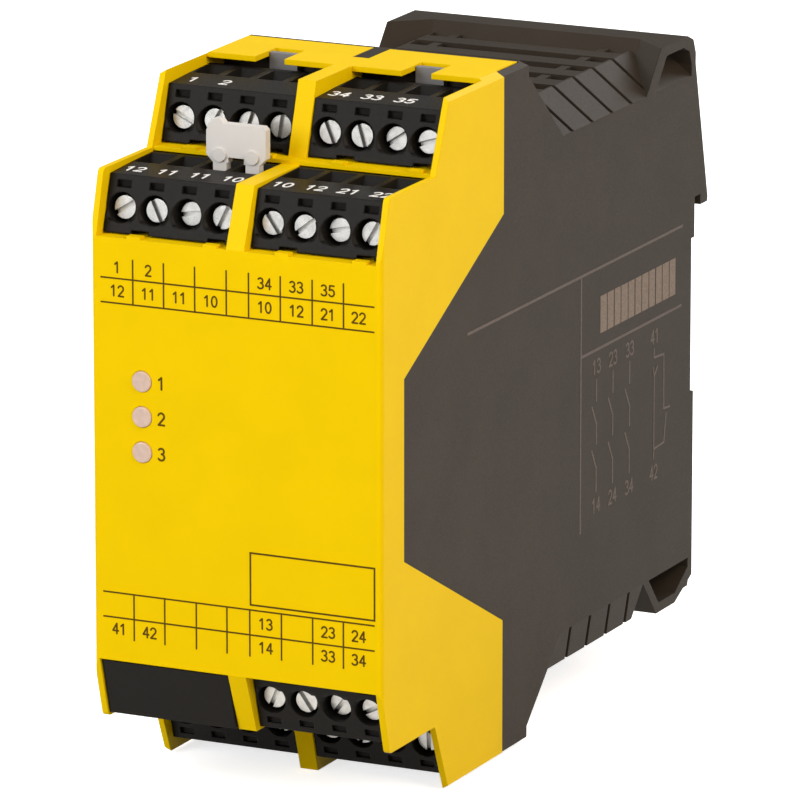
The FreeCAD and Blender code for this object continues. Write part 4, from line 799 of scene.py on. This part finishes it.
def aimed_lamp(name, direction, distance, size, level, colour):
    """A square soft lamp whose level 1 lights a facing white surface to full white."""
    aim = Vector(settings().studio.aim)
    lamp = bpy.data.lights.new(name, "AREA")
    lamp.size = size
    lamp.color = colour
    lamp.energy = level * math.pi ** 2 * distance ** 2
    holder = bpy.data.objects.new(name, lamp)
    bpy.context.scene.collection.objects.link(holder)
    away = Vector(direction).normalized()
    holder.location = aim + away * distance
    holder.rotation_euler = away.to_track_quat("Z", "Y").to_euler()


def studio_world(level):
    """Even white light from all round."""
    world = bpy.data.worlds.new("studio")
    bpy.context.scene.world = world
    world.use_nodes = True
    background = world.node_tree.nodes["Background"]
    background.inputs["Color"].default_value = (1, 1, 1, 1)
    background.inputs["Strength"].default_value = level


def floor_material():
    """Pale floor that looks white to the camera, keeps a faint shadow and throws little light back."""
    material = bpy.data.materials.new("pale floor")
    material.use_nodes = True
    tree = material.node_tree
    tree.nodes.remove(tree.nodes["Principled BSDF"])
    rays = tree.nodes.new("ShaderNodeLightPath")
    seen = rays.outputs["Is Camera Ray"]
    for kind in ("Is Glossy Ray", "Is Transmission Ray"):
        either = tree.nodes.new("ShaderNodeMath")
        either.operation = "MAXIMUM"
        tree.links.new(seen, either.inputs[0])
        tree.links.new(rays.outputs[kind], either.inputs[1])
        seen = either.outputs[0]
    matt = tree.nodes.new("ShaderNodeBsdfDiffuse")
    tone = mixed_colour(tree, seen, FLOOR_TONE, FLOOR_TONE_SEEN)
    tree.links.new(tone, matt.inputs["Color"])
    glow = tree.nodes.new("ShaderNodeEmission")
    level = tree.nodes.new("ShaderNodeMath")
    level.operation = "MULTIPLY"
    level.inputs[1].default_value = FLOOR_GLOW
    tree.links.new(seen, level.inputs[0])
    tree.links.new(level.outputs[0], glow.inputs["Strength"])
    both = tree.nodes.new("ShaderNodeAddShader")
    tree.links.new(matt.outputs[0], both.inputs[0])
    tree.links.new(glow.outputs[0], both.inputs[1])
    tree.links.new(both.outputs[0], tree.nodes["Material Output"].inputs["Surface"])
    return material


class RELAY_OT_stage(Operator):
    """Set up the floor, the lamps and the camera"""

    bl_idname = "relay.stage"
    bl_label = "Set the stage"

    def execute(self, context):
        studio = settings().studio
        bm = bmesh.new()
        ground = cad_box[0][2]
        bmesh.ops.create_grid(
            bm, x_segments=1, y_segments=1, size=FLOOR_REACH, matrix=Matrix.Translation((0, 0, ground))
        )
        mesh = bpy.data.meshes.new("floor")
        bm.to_mesh(mesh)
        bm.free()
        mesh.materials.append(floor_material())
        floor = bpy.data.objects.new("floor", mesh)
        context.scene.collection.objects.link(floor)

        studio_world(studio.ambient)
        for name, direction, distance, size, colour in LAMPS:
            level = getattr(studio, f"{name}_level")
            aimed_lamp(f"{name} lamp", direction, distance, size, level, colour)

        camera_data = bpy.data.cameras.new("camera")
        camera_data.lens = studio.lens
        camera_data.sensor_width = SENSOR_WIDTH
        camera_data.clip_start = CLIP_START
        camera = bpy.data.objects.new("camera", camera_data)
        context.scene.collection.objects.link(camera)
        turn, rise = studio.azimuth, studio.elevation
        away = Vector(
            (math.sin(turn) * math.cos(rise), -math.cos(turn) * math.cos(rise), math.sin(rise))
        )
        camera.location = Vector(studio.aim) + away * studio.distance
        camera.rotation_euler = away.to_track_quat("Z", "Y").to_euler()
        context.scene.camera = camera
        context.scene.view_settings.view_transform = "Standard"
        return {"FINISHED"}


class RELAY_PT_panel(Panel):
    """Steps that dress the relay, in order"""

    bl_label = "Safety relay"
    bl_idname = "RELAY_PT_panel"
    bl_space_type = "VIEW_3D"
    bl_region_type = "UI"
    bl_category = "Relay"

    def draw(self, context):
        for step in STEPS:
            self.layout.operator(step.bl_idname)


STEPS = (
    RELAY_OT_housing,
    RELAY_OT_metal,
    RELAY_OT_inside,
    RELAY_OT_lamps,
    RELAY_OT_front_print,
    RELAY_OT_strip_numbers,
    RELAY_OT_side_print,
    RELAY_OT_stage,
)
CLASSES = (HousingLooks, PrintLooks, StudioSettings, RelaySettings, *STEPS, RELAY_PT_panel)


def register():
    """Adds the settings, the steps and the panel."""
    for entry in CLASSES:
        bpy.utils.register_class(entry)
    bpy.types.Scene.relay = PointerProperty(type=RelaySettings)


def unregister():
    """Takes the settings, the steps and the panel away."""
    del bpy.types.Scene.relay
    for entry in reversed(CLASSES):
        bpy.utils.unregister_class(entry)


def main():
    """Runs every step in order."""
    register()
    for step in STEPS:
        group, action = step.bl_idname.split(".")
        getattr(getattr(bpy.ops, group), action)()


if __name__ == "__main__":
    main()
